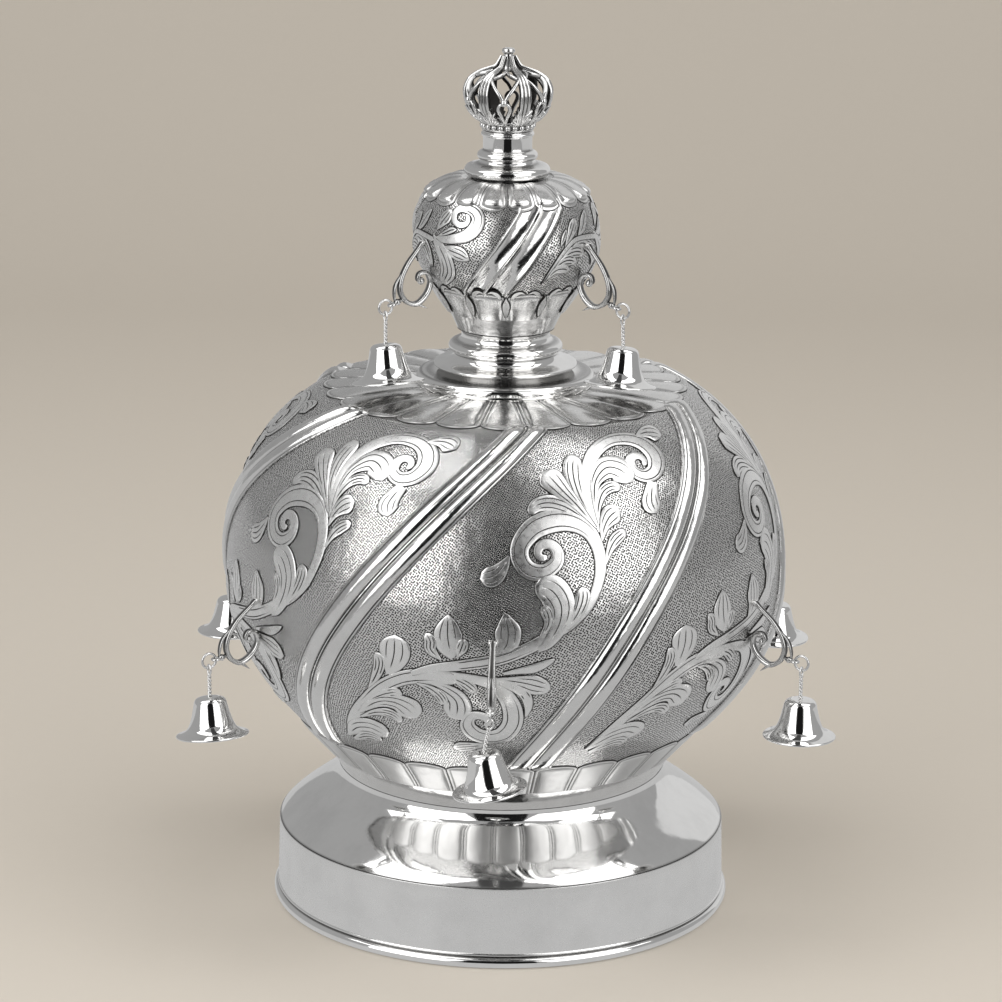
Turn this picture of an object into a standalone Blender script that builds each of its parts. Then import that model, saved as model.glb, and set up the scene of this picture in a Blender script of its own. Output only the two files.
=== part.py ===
"""A silver crown for a Torah scroll: a foot, two bulbs, a small openwork crown and nine bells.

All sizes are in metres.  +Z is up, z = 0 is the plane the foot stands on, the crown's axis
is the Z axis and -Y is its front.  Azimuths are measured from the front, towards +X.
Each piece is one closed mesh of sheet, turned or cast silver.  Hollow pieces are open and
have their true wall.  Pieces that touch keep the small gap FIT_GAP.
"""

import math

import bmesh
import bpy
import numpy as np
from mathutils import Matrix, Vector

# Sheet and fits
SHEET_WALL = 0.0009
FIT_GAP = 0.0003

# Foot: a half-round rim, an upright band, a cushion shoulder and a hollow below the waist
RIM_BEAD_RADIUS = 0.0023
BAND_BASE_RADIUS = 0.0982
BAND_TOP_RADIUS = 0.0975
BAND_HEIGHT = 0.0349
BAND_STEP = 0.0003
SHOULDER_RISE = 0.0255
WAIST_RADIUS = 0.0715
FOOT_COLUMNS = 30
FOOT_INNER_COLUMNS = 15

# Large bulb
BULB_RADIUS = 0.1200
BULB_EQUATOR_RISE = 0.0853
BULB_HEIGHT = 0.1688
BULB_TOP_RADIUS = 0.0785
BULB_TOP_DISH = 0.0021
BULB_MOUTH_RADIUS = 0.0300
BULB_SECTORS = 6
BULB_MOUTH_COLUMNS = 18

# Twisted ribs of the large bulb, one pair in each sector
RIB_AZIMUTHS = (-57.0, -31.0, 6.5)
RIB_HALF_WIDTH = 0.0086
RIB_HEIGHT = 0.0022
RIB_ROWS = 8
PANEL_COLUMNS = 3

# Chased petals of the large bulb
LOWER_PETALS = 30
LOWER_PETAL_LENGTH = 0.0305
UPPER_PETALS = 24
UPPER_PETAL_LENGTH = 0.0420
PETAL_SCALLOP = 0.0045
PETAL_HEIGHT = 0.0014
BROAD_PETAL = (0.0, 0.30, 0.70)
NARROW_PETAL = (0.0, 0.50)

# Columns of the plain inner walls across a group of ribs
PLAIN_WALL = ((-1.0, 0.0), (1.0, 0.0))
SMALL_PLAIN_WALL = ((-1.0, 0.0), (0.0, 0.0), (1.0, 0.0))

# Turned neck between the bulbs, from its base ring to its top
NECK_BASE_RADIUS = 0.0381
NECK_BASE_BEAD = 0.0026
NECK_DISC_RADIUS = 0.0306
NECK_DISC_THICKNESS = 0.0014
NECK_RING_RADIUS = 0.0244
NECK_RING_BEAD = 0.0023
NECK_WAIST_RADIUS = 0.0188
NECK_TOP_RADIUS = 0.0208
NECK_HEIGHT = 0.0240
NECK_WALL = 0.0012
NECK_COLUMNS = 14
NECK_FILLET = 0.0022
NECK_DISC_UNDERCUT = 0.0036
NECK_HOLLOW_RISE = 0.0030
NECK_HOLLOW_DEPTH = 0.0020
NECK_TOP_FLARE = 0.0026

# Small bulb
SMALL_RADIUS = 0.0396
SMALL_EQUATOR_RISE = 0.0359
SMALL_HEIGHT = 0.0650
SMALL_MOUTH_RADIUS = 0.0135
SMALL_TOP_RADIUS = 0.0180
SMALL_SECTORS = 3
SMALL_RIB_AZIMUTHS = (-16.0, 4.0, 24.0)
SMALL_RIB_HALF_WIDTH = 0.0118
SMALL_RIB_HEIGHT = 0.0013
SMALL_RIB_ROWS = 5
SMALL_LOWER_PETALS = 12
SMALL_LOWER_PETAL_LENGTH = 0.0235
SMALL_UPPER_PETALS = 18
SMALL_UPPER_PETAL_LENGTH = 0.0190
SMALL_PETAL_SCALLOP = 0.0025
SMALL_PETAL_HEIGHT = 0.0010
SMALL_MOUTH_COLUMNS = 12

# Turned collar under the small crown
COLLAR_RING_RADIUS = 0.0182
COLLAR_RING_BEAD = 0.0024
COLLAR_UPPER_RING_RADIUS = 0.0128
COLLAR_UPPER_RING_BEAD = 0.0019
COLLAR_NECK_RADIUS = 0.0104
COLLAR_TOP_RADIUS = 0.0112
COLLAR_HEIGHT = 0.0193
COLLAR_BORE_RADIUS = 0.0070
COLLAR_COLUMNS = 14
COLLAR_FILLET = 0.0022
COLLAR_FILLET_DEPTH = 0.0012
COLLAR_FILLET_RISE = 0.0006
COLLAR_NECK_RISE = 0.0009
COLLAR_TOP_BEAD = 0.0026
COLLAR_TOP_CHAMFER = 0.0006

# Small openwork crown on top
TOP_BASE_RADIUS = 0.0116
TOP_BASE_RIM = 0.0010
TOP_BASE_HEIGHT = 0.0036
TOP_RADIUS = 0.0178
TOP_WIDEST_RISE = 0.0168
TOP_ARCH_RISE = 0.0251
TOP_ARCH_RADIUS = 0.0072
TOP_NECK_RADIUS = 0.0027
TOP_KNOB_RADIUS = 0.0028
TOP_KNOB_HEIGHT = 0.0022
TOP_HEIGHT = 0.0343
TOP_WALL = 0.0014
TOP_ARCHES = 6
TOP_AZIMUTH = -5.5
TOP_ARCH_HALF_ANGLE = 8.0
TOP_STEM_HALF_ANGLE = 5.0
TOP_ARCH_RIDGE = 0.0008

# Bells and what they hang from
BELL_RIM_RADIUS = 0.0153
BELL_THROAT_RADIUS = 0.0096
BELL_SHOULDER_RADIUS = 0.0066
BELL_HEIGHT = 0.0167
BELL_FLARE = 0.0038
BELL_WALL = 0.0007
BELL_HOLE_RADIUS = 0.0010
BELL_SHOULDER_DROP = 0.0012
BELL_COLUMNS = 9
HANG_RING_RADIUS = 0.0031
HANG_RING_WIRE = 0.00055
LINK_LENGTH = 0.0124
LINK_LOOP_WIDTH = 0.0030
LINK_LOOP_HEIGHT = 0.0042
LINK_WIRE = 0.00042
LINK_KNOT_RADIUS = 0.0015

# Cast brackets that carry the bells
BRACKET_CHORD = 0.0177
BRACKET_THICKNESS = 0.0014
BRACKET_WIDTH = 0.0028
BRACKET_TIP_WIDTH = 0.0014
BRACKET_EYE_WIRE = 0.00055
BRACKET_CALYX_RADII = (0.0012, 0.0008)
BRACKET_SPIKE_RADII = (0.0011, 0.0002)
BRACKET_SPIKE_SHARE = (0.16, 0.17)
BRACKET_END_SWELL = 1.8
LOWER_BELL_AZIMUTHS = (-1.9, 60.9, 119.4, 179.3, 239.3, 301.3)
LOWER_BELL_TILTS = (9.0, -1.0, 2.0, -3.0, 3.0, 8.0)
LOWER_LINK_SWINGS = (-11.0, 0.0, 2.0, -3.0, 3.0, 1.0)
LOWER_BRACKET_RISE = 0.0888
LOWER_BRACKET_REACH = 0.0250
LOWER_BRACKET_DROP = 0.0212
UPPER_BELL_AZIMUTHS = (-60.5, 57.5, 179.0)
UPPER_BELL_TILTS = (9.0, -8.0, 2.0)
UPPER_LINK_SWINGS = (0.0, 4.0, 2.0)
UPPER_BRACKET_RISE = 0.0400
UPPER_BRACKET_REACH = 0.0250
UPPER_BRACKET_DROP = 0.0202

# The bracket's centre line, as shares of its reach and drop, from the upper tip to the eye
BRACKET_CURVE = (
    (0.03, 0.00), (0.19, -0.12), (0.42, -0.32), (0.60, -0.57), (0.67, -0.83), (0.60, -1.07),
    (0.43, -1.19), (0.22, -1.08), (0.085, -0.86), (0.11, -0.65), (0.24, -0.60), (0.29, -0.70),
)

# Heights at which the stacked pieces stand
FOOT_HEIGHT = BAND_HEIGHT + SHOULDER_RISE
BULB_Z = FOOT_HEIGHT + FIT_GAP
NECK_Z = BULB_Z + BULB_HEIGHT + FIT_GAP
SMALL_Z = NECK_Z + NECK_HEIGHT + FIT_GAP
COLLAR_Z = SMALL_Z + SMALL_HEIGHT + FIT_GAP
TOP_Z = COLLAR_Z + COLLAR_HEIGHT + FIT_GAP


def clear_scene():
    """Remove every object that the file opened with."""
    for item in list(bpy.data.objects):
        bpy.data.objects.remove(item, do_unlink=True)


def silver(name, tone, roughness):
    """A silver material of the given grey tone and roughness."""
    material = bpy.data.materials.new(name)
    material.use_nodes = True
    shader = material.node_tree.nodes["Principled BSDF"]
    shader.inputs["Base Color"].default_value = (tone, tone * 0.985, tone * 0.95, 1.0)
    shader.inputs["Metallic"].default_value = 1.0
    shader.inputs["Roughness"].default_value = roughness
    return material


def curve_points(controls, count):
    """Points along the cubic Bezier curve with the four given (radius, height) controls."""
    start, first, second, end = (np.array(point, float) for point in controls)
    t = np.linspace(0.0, 1.0, count)[:, None]
    return ((1 - t) ** 3 * start + 3 * (1 - t) ** 2 * t * first
            + 3 * (1 - t) * t ** 2 * second + t ** 3 * end)


def half_round(radius, height, bead, count=4):
    """Outline points round the outer half of a bead whose outermost radius is given."""
    turn = np.linspace(-90.0, 90.0, count)
    across = radius - bead + bead * np.cos(np.radians(turn))
    up = height + bead * np.sin(np.radians(turn))
    return np.stack([across, up], axis=1)


class Outline:
    """A turned outline measured by its own length, with the normal at each place."""

    def __init__(self, points):
        self.points = np.asarray(points, float)
        steps = np.diff(self.points, axis=0)
        self.lengths = np.concatenate([[0.0], np.cumsum(np.hypot(steps[:, 0], steps[:, 1]))])
        self.total = float(self.lengths[-1])

    def at(self, length):
        """Radius and height at a distance along the outline."""
        radius = np.interp(length, self.lengths, self.points[:, 0])
        height = np.interp(length, self.lengths, self.points[:, 1])
        return radius, height

    def normal(self, length):
        """The outward normal, as its radial and its upright part."""
        span = self.total * 0.01
        ahead = self.at(np.minimum(length + span, self.total))
        behind = self.at(np.maximum(length - span, 0.0))
        along_r, along_z = ahead[0] - behind[0], ahead[1] - behind[1]
        size = np.hypot(along_r, along_z)
        return along_z / size, -along_r / size

    def radius_at_height(self, height):
        """Radius of an outline that only rises, at a height."""
        return float(np.interp(height, self.points[:, 1], self.points[:, 0]))

    def inside(self):
        """The outline's own points moved inwards by the wall."""
        normal_r, normal_z = self.normal(self.lengths)
        moved = (self.points[:, 0] - normal_r * SHEET_WALL, self.points[:, 1] - normal_z * SHEET_WALL)
        return np.stack(moved, axis=1)


def ring(azimuths, radii, heights):
    """Points round the axis, one for each azimuth in degrees."""
    angle = np.radians(np.asarray(azimuths, float))
    radii = np.broadcast_to(radii, angle.shape)
    heights = np.broadcast_to(heights, angle.shape)
    return np.stack([radii * np.sin(angle), -radii * np.cos(angle), heights], axis=1)


def plain_rings(points, columns):
    """One ring of evenly spread points for each outline point."""
    azimuths = np.arange(columns) * 360.0 / columns
    return [ring(azimuths, radius, height) for radius, height in points]


def bridge(mesh, lower, upper):
    """Join two rings of vertices with triangles, also when their counts differ.

    Rings of one count are joined vertex to vertex, and each cell is cut along its shorter
    diagonal, so that the outer and the inner face of a wall are cut alike and never cross.
    """
    if len(lower) == len(upper):
        for index in range(len(lower)):
            after = (index + 1) % len(lower)
            corners = (lower[index], lower[after], upper[after], upper[index])
            rising = (corners[2].co - corners[0].co).length
            falling = (corners[3].co - corners[1].co).length
            if rising > falling:
                corners = corners[1:] + corners[:1]
            mesh.faces.new(corners[:3])
            mesh.faces.new((corners[0], corners[2], corners[3]))
        return

    def azimuth(vertex):
        return math.atan2(vertex.co.x, -vertex.co.y)

    def away(first, second):
        return (azimuth(first) - azimuth(second) + math.pi) % (2 * math.pi) - math.pi

    first = lower[0]
    start = min(range(len(upper)), key=lambda place: abs(away(upper[place], first)))
    upper = upper[start:] + upper[:start]
    low, high = 0, 0
    while low < len(lower) or high < len(upper):
        here_low = lower[low % len(lower)]
        here_high = upper[high % len(upper)]
        next_low = lower[(low + 1) % len(lower)]
        next_high = upper[(high + 1) % len(upper)]
        low_first = abs(away(next_low, here_high)) < abs(away(next_high, here_low))
        if high == len(upper) or (low < len(lower) and low_first):
            mesh.faces.new((here_low, next_low, here_high))
            low += 1
        else:
            mesh.faces.new((here_low, next_high, here_high))
            high += 1


def finish_mesh(mesh, name, smooth_angle):
    """Turn a bmesh into a named, smooth-shaded mesh whose faces point out."""
    bmesh.ops.recalc_face_normals(mesh, faces=mesh.faces)
    data = bpy.data.meshes.new(name)
    mesh.to_mesh(data)
    mesh.free()
    data.shade_smooth()
    data.set_sharp_from_angle(angle=math.radians(smooth_angle))
    return data


def ring_body(name, rings, smooth_angle=40.0):
    """A closed body of rings, each joined to the next and the last to the first."""
    mesh = bmesh.new()
    loops = [[mesh.verts.new(point) for point in points] for points in rings]
    for lower, upper in zip(loops, loops[1:] + loops[:1]):
        bridge(mesh, lower, upper)
    return finish_mesh(mesh, name, smooth_angle)


def place(name, data, material, matrix=None):
    """A named object for a mesh, with its material and its place."""
    item = bpy.data.objects.new(name, data)
    bpy.context.collection.objects.link(item)
    if not data.materials:
        data.materials.append(material)
    if matrix is not None:
        item.matrix_world = matrix
    return item


def swept(name, centres, sections, closed=False):
    """A closed body of cross-sections along a path.

    centres are the path's points; sections are arrays of points about each of them, already
    turned to face along the path.
    """
    mesh = bmesh.new()
    loops = []
    for centre, section in zip(centres, sections):
        loops.append([mesh.verts.new(Vector(centre) + Vector(point)) for point in section])
    joined = zip(loops, loops[1:] + loops[:1]) if closed else zip(loops, loops[1:])
    for first, second in joined:
        for index in range(len(first)):
            after = (index + 1) % len(first)
            mesh.faces.new((first[index], first[after], second[after], second[index]))
    if not closed:
        mesh.faces.new(loops[0])
        mesh.faces.new(loops[-1])
    return finish_mesh(mesh, name, 40.0)


def united(name, meshes):
    """One mesh from several that overlap where they are fused."""
    items = []
    for index, data in enumerate(meshes):
        item = bpy.data.objects.new(f"{name}_{index}", data)
        bpy.context.collection.objects.link(item)
        items.append(item)
    for other in items[1:]:
        union = items[0].modifiers.new(other.name, "BOOLEAN")
        union.operation = "UNION"
        union.solver = "EXACT"
        union.object = other
    graph = bpy.context.evaluated_depsgraph_get()
    result = bpy.data.meshes.new_from_object(items[0].evaluated_get(graph))
    result.name = name
    for item in items:
        bpy.data.objects.remove(item, do_unlink=True)
    return result


def wire_circle(name, radius, wire, steps):
    """A round wire ring in the XZ plane."""
    turn = np.radians(np.arange(steps) * 360.0 / steps)
    side = np.radians(np.arange(3) * 120.0 + 45.0)
    axis = Vector((0, 1, 0))
    centres, sections = [], []
    for angle in turn:
        outward = Vector((math.cos(angle), 0, math.sin(angle)))
        centres.append(outward * radius)
        sections.append([outward * wire * math.cos(s) + axis * wire * math.sin(s) for s in side])
    return swept(name, centres, sections, closed=True)


def foot_outline():
    """The foot from its underside to the waist, outside."""
    rim = half_round(BAND_BASE_RADIUS + RIM_BEAD_RADIUS * 0.8, RIM_BEAD_RADIUS, RIM_BEAD_RADIUS)
    rim_top = rim[-1][1]
    band = [(BAND_BASE_RADIUS, rim_top), (BAND_TOP_RADIUS, BAND_HEIGHT)]
    step = [(BAND_TOP_RADIUS - BAND_STEP, BAND_HEIGHT + BAND_STEP * 0.2)]
    shoulder_start = (BAND_TOP_RADIUS - BAND_STEP * 1.5, BAND_HEIGHT + BAND_STEP)
    drop = BAND_TOP_RADIUS - WAIST_RADIUS
    shoulder = curve_points((
        shoulder_start,
        (BAND_TOP_RADIUS - drop * 0.32, BAND_HEIGHT + SHOULDER_RISE * 0.36),
        (WAIST_RADIUS - drop * 0.07, BAND_HEIGHT + SHOULDER_RISE * 0.70),
        (WAIST_RADIUS, FOOT_HEIGHT),
    ), 7)
    return np.concatenate([rim[1:], band, step, shoulder])


def make_foot(material):
    """The foot: one raised shell, open below and at the waist."""
    outline = foot_outline()
    underside = [(BAND_BASE_RADIUS - SHEET_WALL, 0.0), (BAND_BASE_RADIUS, 0.0)]
    shoulder = Outline(outline[6:]).inside()[::-1]
    shoulder[0] = (WAIST_RADIUS - SHEET_WALL, FOOT_HEIGHT)
    corner = [(BAND_TOP_RADIUS - BAND_STEP - SHEET_WALL, BAND_HEIGHT - SHEET_WALL),
              (BAND_BASE_RADIUS - SHEET_WALL, RIM_BEAD_RADIUS)]
    rings = plain_rings(np.concatenate([underside[1:], outline]), FOOT_COLUMNS)
    rings += plain_rings(np.concatenate([shoulder, corner]), FOOT_INNER_COLUMNS)
    rings += plain_rings(underside[:1], FOOT_COLUMNS)
    place("foot", ring_body("foot", rings), material)


def bulb_outline():
    """The large bulb's ground surface, from the waist to its mouth."""
    width = BULB_RADIUS - WAIST_RADIUS
    equator = BULB_Z + BULB_EQUATOR_RISE
    top = BULB_Z + BULB_HEIGHT
    rim_z = top - BULB_TOP_DISH
    lower = curve_points((
        (WAIST_RADIUS, BULB_Z),
        (WAIST_RADIUS + width * 0.17, BULB_Z + BULB_EQUATOR_RISE * 0.25),
        (BULB_RADIUS, equator - BULB_EQUATOR_RISE * 0.52),
        (BULB_RADIUS, equator),
    ), 40)
    shrink = BULB_RADIUS - BULB_TOP_RADIUS
    upper = curve_points((
        (BULB_RADIUS, equator),
        (BULB_RADIUS, equator + (rim_z - equator) * 0.54),
        (BULB_TOP_RADIUS + shrink * 0.60, equator + (rim_z - equator) * 0.836),
        (BULB_TOP_RADIUS, rim_z),
    ), 40)
    return Outline(np.concatenate([lower, upper[1:], [(BULB_MOUTH_RADIUS, top)]]))


def small_outline():
    """The small bulb's ground surface, from its seat to its mouth."""
    width = SMALL_RADIUS - NECK_TOP_RADIUS
    equator = SMALL_Z + SMALL_EQUATOR_RISE
    top = SMALL_Z + SMALL_HEIGHT
    lower = curve_points((
        (NECK_TOP_RADIUS, SMALL_Z),
        (NECK_TOP_RADIUS + width * 0.29, SMALL_Z + SMALL_EQUATOR_RISE * 0.38),
        (SMALL_RADIUS, equator - SMALL_EQUATOR_RISE * 0.28),
        (SMALL_RADIUS, equator),
    ), 30)
    upper = curve_points((
        (SMALL_RADIUS, equator),
        (SMALL_RADIUS, equator + (top - equator) * 0.75),
        (SMALL_TOP_RADIUS + (SMALL_RADIUS - SMALL_TOP_RADIUS) * 0.58, top),
        (SMALL_TOP_RADIUS, top - FIT_GAP),
    ), 30)
    return Outline(np.concatenate([lower, upper[1:], [(SMALL_MOUTH_RADIUS, top)]]))


def surface_ring(outline, azimuths, lengths, lift):
    """Points over an outline at given lengths, raised along its normal by lift."""
    azimuths = np.asarray(azimuths, float)
    lengths = np.broadcast_to(np.asarray(lengths, float), azimuths.shape)
    radius, height = outline.at(lengths)
    normal_r, normal_z = outline.normal(lengths)
    lift = np.broadcast_to(lift, azimuths.shape)
    return ring(azimuths, radius + normal_r * lift, height + normal_z * lift)


def petal_columns(petals, places):
    """Azimuths of the columns of a row of petals, and how high each stands on its petal.

    places are shares of a petal's width; the first, at 0, is the valley between two petals.
    """
    azimuths = (np.arange(petals)[:, None] + np.array(places)[None, :] - 0.5) * 360.0 / petals
    nearness = np.tile([0.0] + [1.0] * (len(places) - 1), petals)
    return azimuths.ravel(), nearness


def petal_rings(outline, petals, places, root, tip, scallop, height):
    """Rings of a row of convex petals from their roots to their rounded tips.

    root and tip are lengths along the outline; the valleys between petals end short of the
    tips by scallop.
    """
    azimuths, nearness = petal_columns(petals, places)
    towards = 1.0 if tip > root else -1.0
    edge = tip - towards * scallop * (1.0 - nearness)
    middle = root + (edge - root) * 0.55
    return [
        surface_ring(outline, azimuths, root, 0.0),
        surface_ring(outline, azimuths, middle, height * nearness),
        surface_ring(outline, azimuths, edge, height * (0.35 + 0.45 * nearness)),
    ]


def rib_azimuth(azimuths, share):
    """Azimuth of a rib at a share of its length, by a parabola through three azimuths."""
    foot, middle, head = azimuths
    return (foot * (1 - share) * (1 - 2 * share) + 4 * middle * share * (1 - share)
            + head * share * (2 * share - 1))


def rib_rings(outline, shares, span_lengths, azimuths, sectors, half_width, profile, depth=0.0):
    """Rings whose columns follow the twisted ribs, so that each ridge is one clean edge.

    shares are the rows' places between the two span_lengths, where a row before 0 or past 1
    keeps the columns of the nearest row of ribs.  profile lists (place across the ribs from
    -1 to 1, lift) pairs, and the whole ring lies depth under the ground surface.
    """
    first, last = span_lengths
    rings = []
    for place in shares:
        share = min(max(place, 0.0), 1.0)
        length = first + (last - first) * share
        radius = outline.at(length)[0]
        slant = math.radians(abs(azimuths[2] - azimuths[0])) * radius / abs(last - first)
        half_angle = math.degrees(half_width * math.hypot(1.0, slant) / radius)
        rib_places = [half_angle * place for place, _ in profile]
        span = 360.0 / sectors
        panel = np.linspace(half_angle, span - half_angle, PANEL_COLUMNS + 2)[1:-1]
        places = np.concatenate([rib_places, panel])
        lifts = np.concatenate([[lift for _, lift in profile], np.zeros(PANEL_COLUMNS)])
        centre = rib_azimuth(azimuths, share)
        turns = (np.arange(sectors)[:, None] * span + places[None, :] + centre).ravel()
        fade = math.sin(math.pi * min(max(share, 0.06), 0.94)) ** 0.4
        at = first + (last - first) * place
        rings.append(surface_ring(outline, turns, at, np.tile(lifts, sectors) * fade - depth))
    return rings


def wall_shares(rows, span_lengths, root_lengths):
    """Places of a bulb's inner rows: one for each row of ribs, and two under each row of petals."""
    first, last = span_lengths
    below = (root_lengths[0] - first) / (last - first)
    above = (root_lengths[1] - first) / (last - first)
    return np.concatenate([[below, below * 0.5], np.linspace(0.0, 1.0, rows),
                           [1.0 + (above - 1.0) * 0.5, above]])


def make_large_bulb(material):
    """The large bulb: a raised shell with chased petals and six pairs of twisted ribs."""
    outline = bulb_outline()
    neck_length = outline.total - (NECK_BASE_RADIUS - BULB_MOUTH_RADIUS)
    lower = petal_rings(outline, LOWER_PETALS, BROAD_PETAL, 0.0, LOWER_PETAL_LENGTH,
                        PETAL_SCALLOP, PETAL_HEIGHT)
    upper = petal_rings(outline, UPPER_PETALS, BROAD_PETAL, neck_length,
                        neck_length - UPPER_PETAL_LENGTH, PETAL_SCALLOP, PETAL_HEIGHT)
    margin = 1.5 * PETAL_HEIGHT
    profile = ((-1.0, 0.0), (-0.72, RIB_HEIGHT), (-0.30, RIB_HEIGHT), (0.0, 0.0),
               (0.30, RIB_HEIGHT), (0.72, RIB_HEIGHT), (1.0, 0.0))
    span_lengths = (LOWER_PETAL_LENGTH + margin, neck_length - UPPER_PETAL_LENGTH - margin)
    ribs = rib_rings(outline, np.linspace(0.0, 1.0, RIB_ROWS), span_lengths, RIB_AZIMUTHS,
                     BULB_SECTORS, RIB_HALF_WIDTH, profile)
    top = BULB_Z + BULB_HEIGHT
    mouth = plain_rings([(BULB_MOUTH_RADIUS, top), (BULB_MOUTH_RADIUS, top - SHEET_WALL)],
                        BULB_MOUTH_COLUMNS)
    shares = wall_shares(RIB_ROWS, span_lengths, (0.0, neck_length))
    inside = rib_rings(outline, shares[::-1], span_lengths, RIB_AZIMUTHS, BULB_SECTORS,
                       RIB_HALF_WIDTH, PLAIN_WALL, SHEET_WALL)
    inside[-1][:, 2] = BULB_Z
    rings = lower + ribs + upper[::-1] + mouth + inside
    place("large_bulb", ring_body("large_bulb", rings), material)


def make_small_bulb(material):
    """The small bulb, with petals at both ends and three groups of three twisted ribs."""
    outline = small_outline()
    collar_length = outline.total - (SMALL_TOP_RADIUS - SMALL_MOUTH_RADIUS)
    lower = petal_rings(outline, SMALL_LOWER_PETALS, BROAD_PETAL, 0.0,
                        SMALL_LOWER_PETAL_LENGTH, SMALL_PETAL_SCALLOP, SMALL_PETAL_HEIGHT)
    upper = petal_rings(outline, SMALL_UPPER_PETALS, NARROW_PETAL, collar_length,
                        collar_length - SMALL_UPPER_PETAL_LENGTH, SMALL_PETAL_SCALLOP,
                        SMALL_PETAL_HEIGHT)
    margin = 1.5 * SMALL_PETAL_HEIGHT
    profile = ((-1.0, 0.0), (-0.66, SMALL_RIB_HEIGHT), (-0.33, 0.0), (0.0, SMALL_RIB_HEIGHT),
               (0.33, 0.0), (0.66, SMALL_RIB_HEIGHT), (1.0, 0.0))
    span_lengths = (SMALL_LOWER_PETAL_LENGTH + margin,
                    collar_length - SMALL_UPPER_PETAL_LENGTH - margin)
    ribs = rib_rings(outline, np.linspace(0.0, 1.0, SMALL_RIB_ROWS), span_lengths,
                     SMALL_RIB_AZIMUTHS, SMALL_SECTORS, SMALL_RIB_HALF_WIDTH, profile)
    top = SMALL_Z + SMALL_HEIGHT
    mouth = plain_rings([(SMALL_MOUTH_RADIUS, top), (SMALL_MOUTH_RADIUS, top - SHEET_WALL)],
                        SMALL_MOUTH_COLUMNS)
    shares = wall_shares(SMALL_RIB_ROWS, span_lengths, (0.0, collar_length))
    inside = rib_rings(outline, shares[::-1], span_lengths, SMALL_RIB_AZIMUTHS, SMALL_SECTORS,
                       SMALL_RIB_HALF_WIDTH, SMALL_PLAIN_WALL, SHEET_WALL)
    inside[-1][:, 2] = SMALL_Z
    rings = lower + ribs + upper[::-1] + mouth + inside
    place("small_bulb", ring_body("small_bulb", rings), material)


def make_neck(material):
    """The turned neck between the bulbs: a base ring, a thin disc, a ring and a hollow."""
    base = half_round(NECK_BASE_RADIUS, NECK_Z + NECK_BASE_BEAD, NECK_BASE_BEAD)
    disc_z = base[-1][1] + NECK_FILLET
    fillet_r = NECK_DISC_RADIUS - NECK_DISC_UNDERCUT
    disc = [(fillet_r, disc_z - NECK_FILLET * 0.55), (NECK_DISC_RADIUS, disc_z),
            (NECK_DISC_RADIUS, disc_z + NECK_DISC_THICKNESS)]
    upper = half_round(NECK_RING_RADIUS, NECK_Z + NECK_HEIGHT * 0.67, NECK_RING_BEAD)
    hollow = [(NECK_RING_RADIUS - NECK_HOLLOW_DEPTH, disc_z + NECK_DISC_THICKNESS + NECK_HOLLOW_RISE)]
    waist = [(NECK_WAIST_RADIUS, NECK_Z + NECK_HEIGHT - NECK_TOP_FLARE),
             (NECK_TOP_RADIUS, NECK_Z + NECK_HEIGHT)]
    outline = np.concatenate([base, disc, hollow, upper, waist])
    inside = [(NECK_TOP_RADIUS - NECK_WALL, NECK_Z + NECK_HEIGHT),
              (NECK_WAIST_RADIUS - NECK_WALL, waist[0][1]),
              (hollow[0][0] - NECK_WALL, hollow[0][1]),
              (fillet_r - NECK_WALL, base[-1][1]),
              (base[0][0] - NECK_WALL, NECK_Z)]
    rings = plain_rings(outline, NECK_COLUMNS) + plain_rings(inside, NECK_COLUMNS // 2)
    place("neck", ring_body("neck", rings), material)


def make_collar(material):
    """The turned collar under the small crown."""
    lower = half_round(COLLAR_RING_RADIUS, COLLAR_Z + COLLAR_RING_BEAD, COLLAR_RING_BEAD)
    upper_z = lower[-1][1] + COLLAR_FILLET + COLLAR_UPPER_RING_BEAD
    upper = half_round(COLLAR_UPPER_RING_RADIUS, upper_z, COLLAR_UPPER_RING_BEAD)
    fillet = [(COLLAR_UPPER_RING_RADIUS - COLLAR_FILLET_DEPTH, lower[-1][1] + COLLAR_FILLET_RISE)]
    top = COLLAR_Z + COLLAR_HEIGHT
    neck = [(COLLAR_NECK_RADIUS, upper[-1][1] + COLLAR_NECK_RISE),
            (COLLAR_NECK_RADIUS, top - COLLAR_TOP_BEAD),
            (COLLAR_TOP_RADIUS, top - COLLAR_TOP_BEAD + COLLAR_TOP_CHAMFER),
            (COLLAR_TOP_RADIUS, top)]
    outline = np.concatenate([lower, fillet, upper, neck])
    bore = [(COLLAR_BORE_RADIUS, top), (COLLAR_BORE_RADIUS, COLLAR_Z)]
    rings = plain_rings(outline, COLLAR_COLUMNS) + plain_rings(bore, COLLAR_COLUMNS // 2)
    place("collar", ring_body("collar", rings), material)


def top_crown_rows():
    """Heights, outer radii and whether the band above each row is pierced."""
    base_top = TOP_Z + TOP_BASE_HEIGHT
    arch_top = TOP_Z + TOP_ARCH_RISE
    wide = TOP_Z + TOP_WIDEST_RISE
    knob = TOP_Z + TOP_HEIGHT - TOP_KNOB_HEIGHT
    return (
        (TOP_Z, TOP_BASE_RADIUS - TOP_BASE_RIM, False),
        (TOP_Z + TOP_BASE_HEIGHT * 0.5, TOP_BASE_RADIUS, False),
        (base_top, TOP_BASE_RADIUS - TOP_BASE_RIM, True),
        (base_top + (wide - base_top) * 0.40, TOP_RADIUS * 0.84, True),
        (wide, TOP_RADIUS, True),
        (wide + (arch_top - wide) * 0.60, TOP_RADIUS * 0.89, True),
        (arch_top, TOP_ARCH_RADIUS, False),
        (arch_top + (knob - arch_top) * 0.42, TOP_NECK_RADIUS * 1.35, False),
        (knob, TOP_NECK_RADIUS * 0.75, False),
        (knob + TOP_KNOB_HEIGHT * 0.25, TOP_KNOB_RADIUS, False),
        (knob + TOP_KNOB_HEIGHT * 0.8, TOP_KNOB_RADIUS, False),
    )


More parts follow.
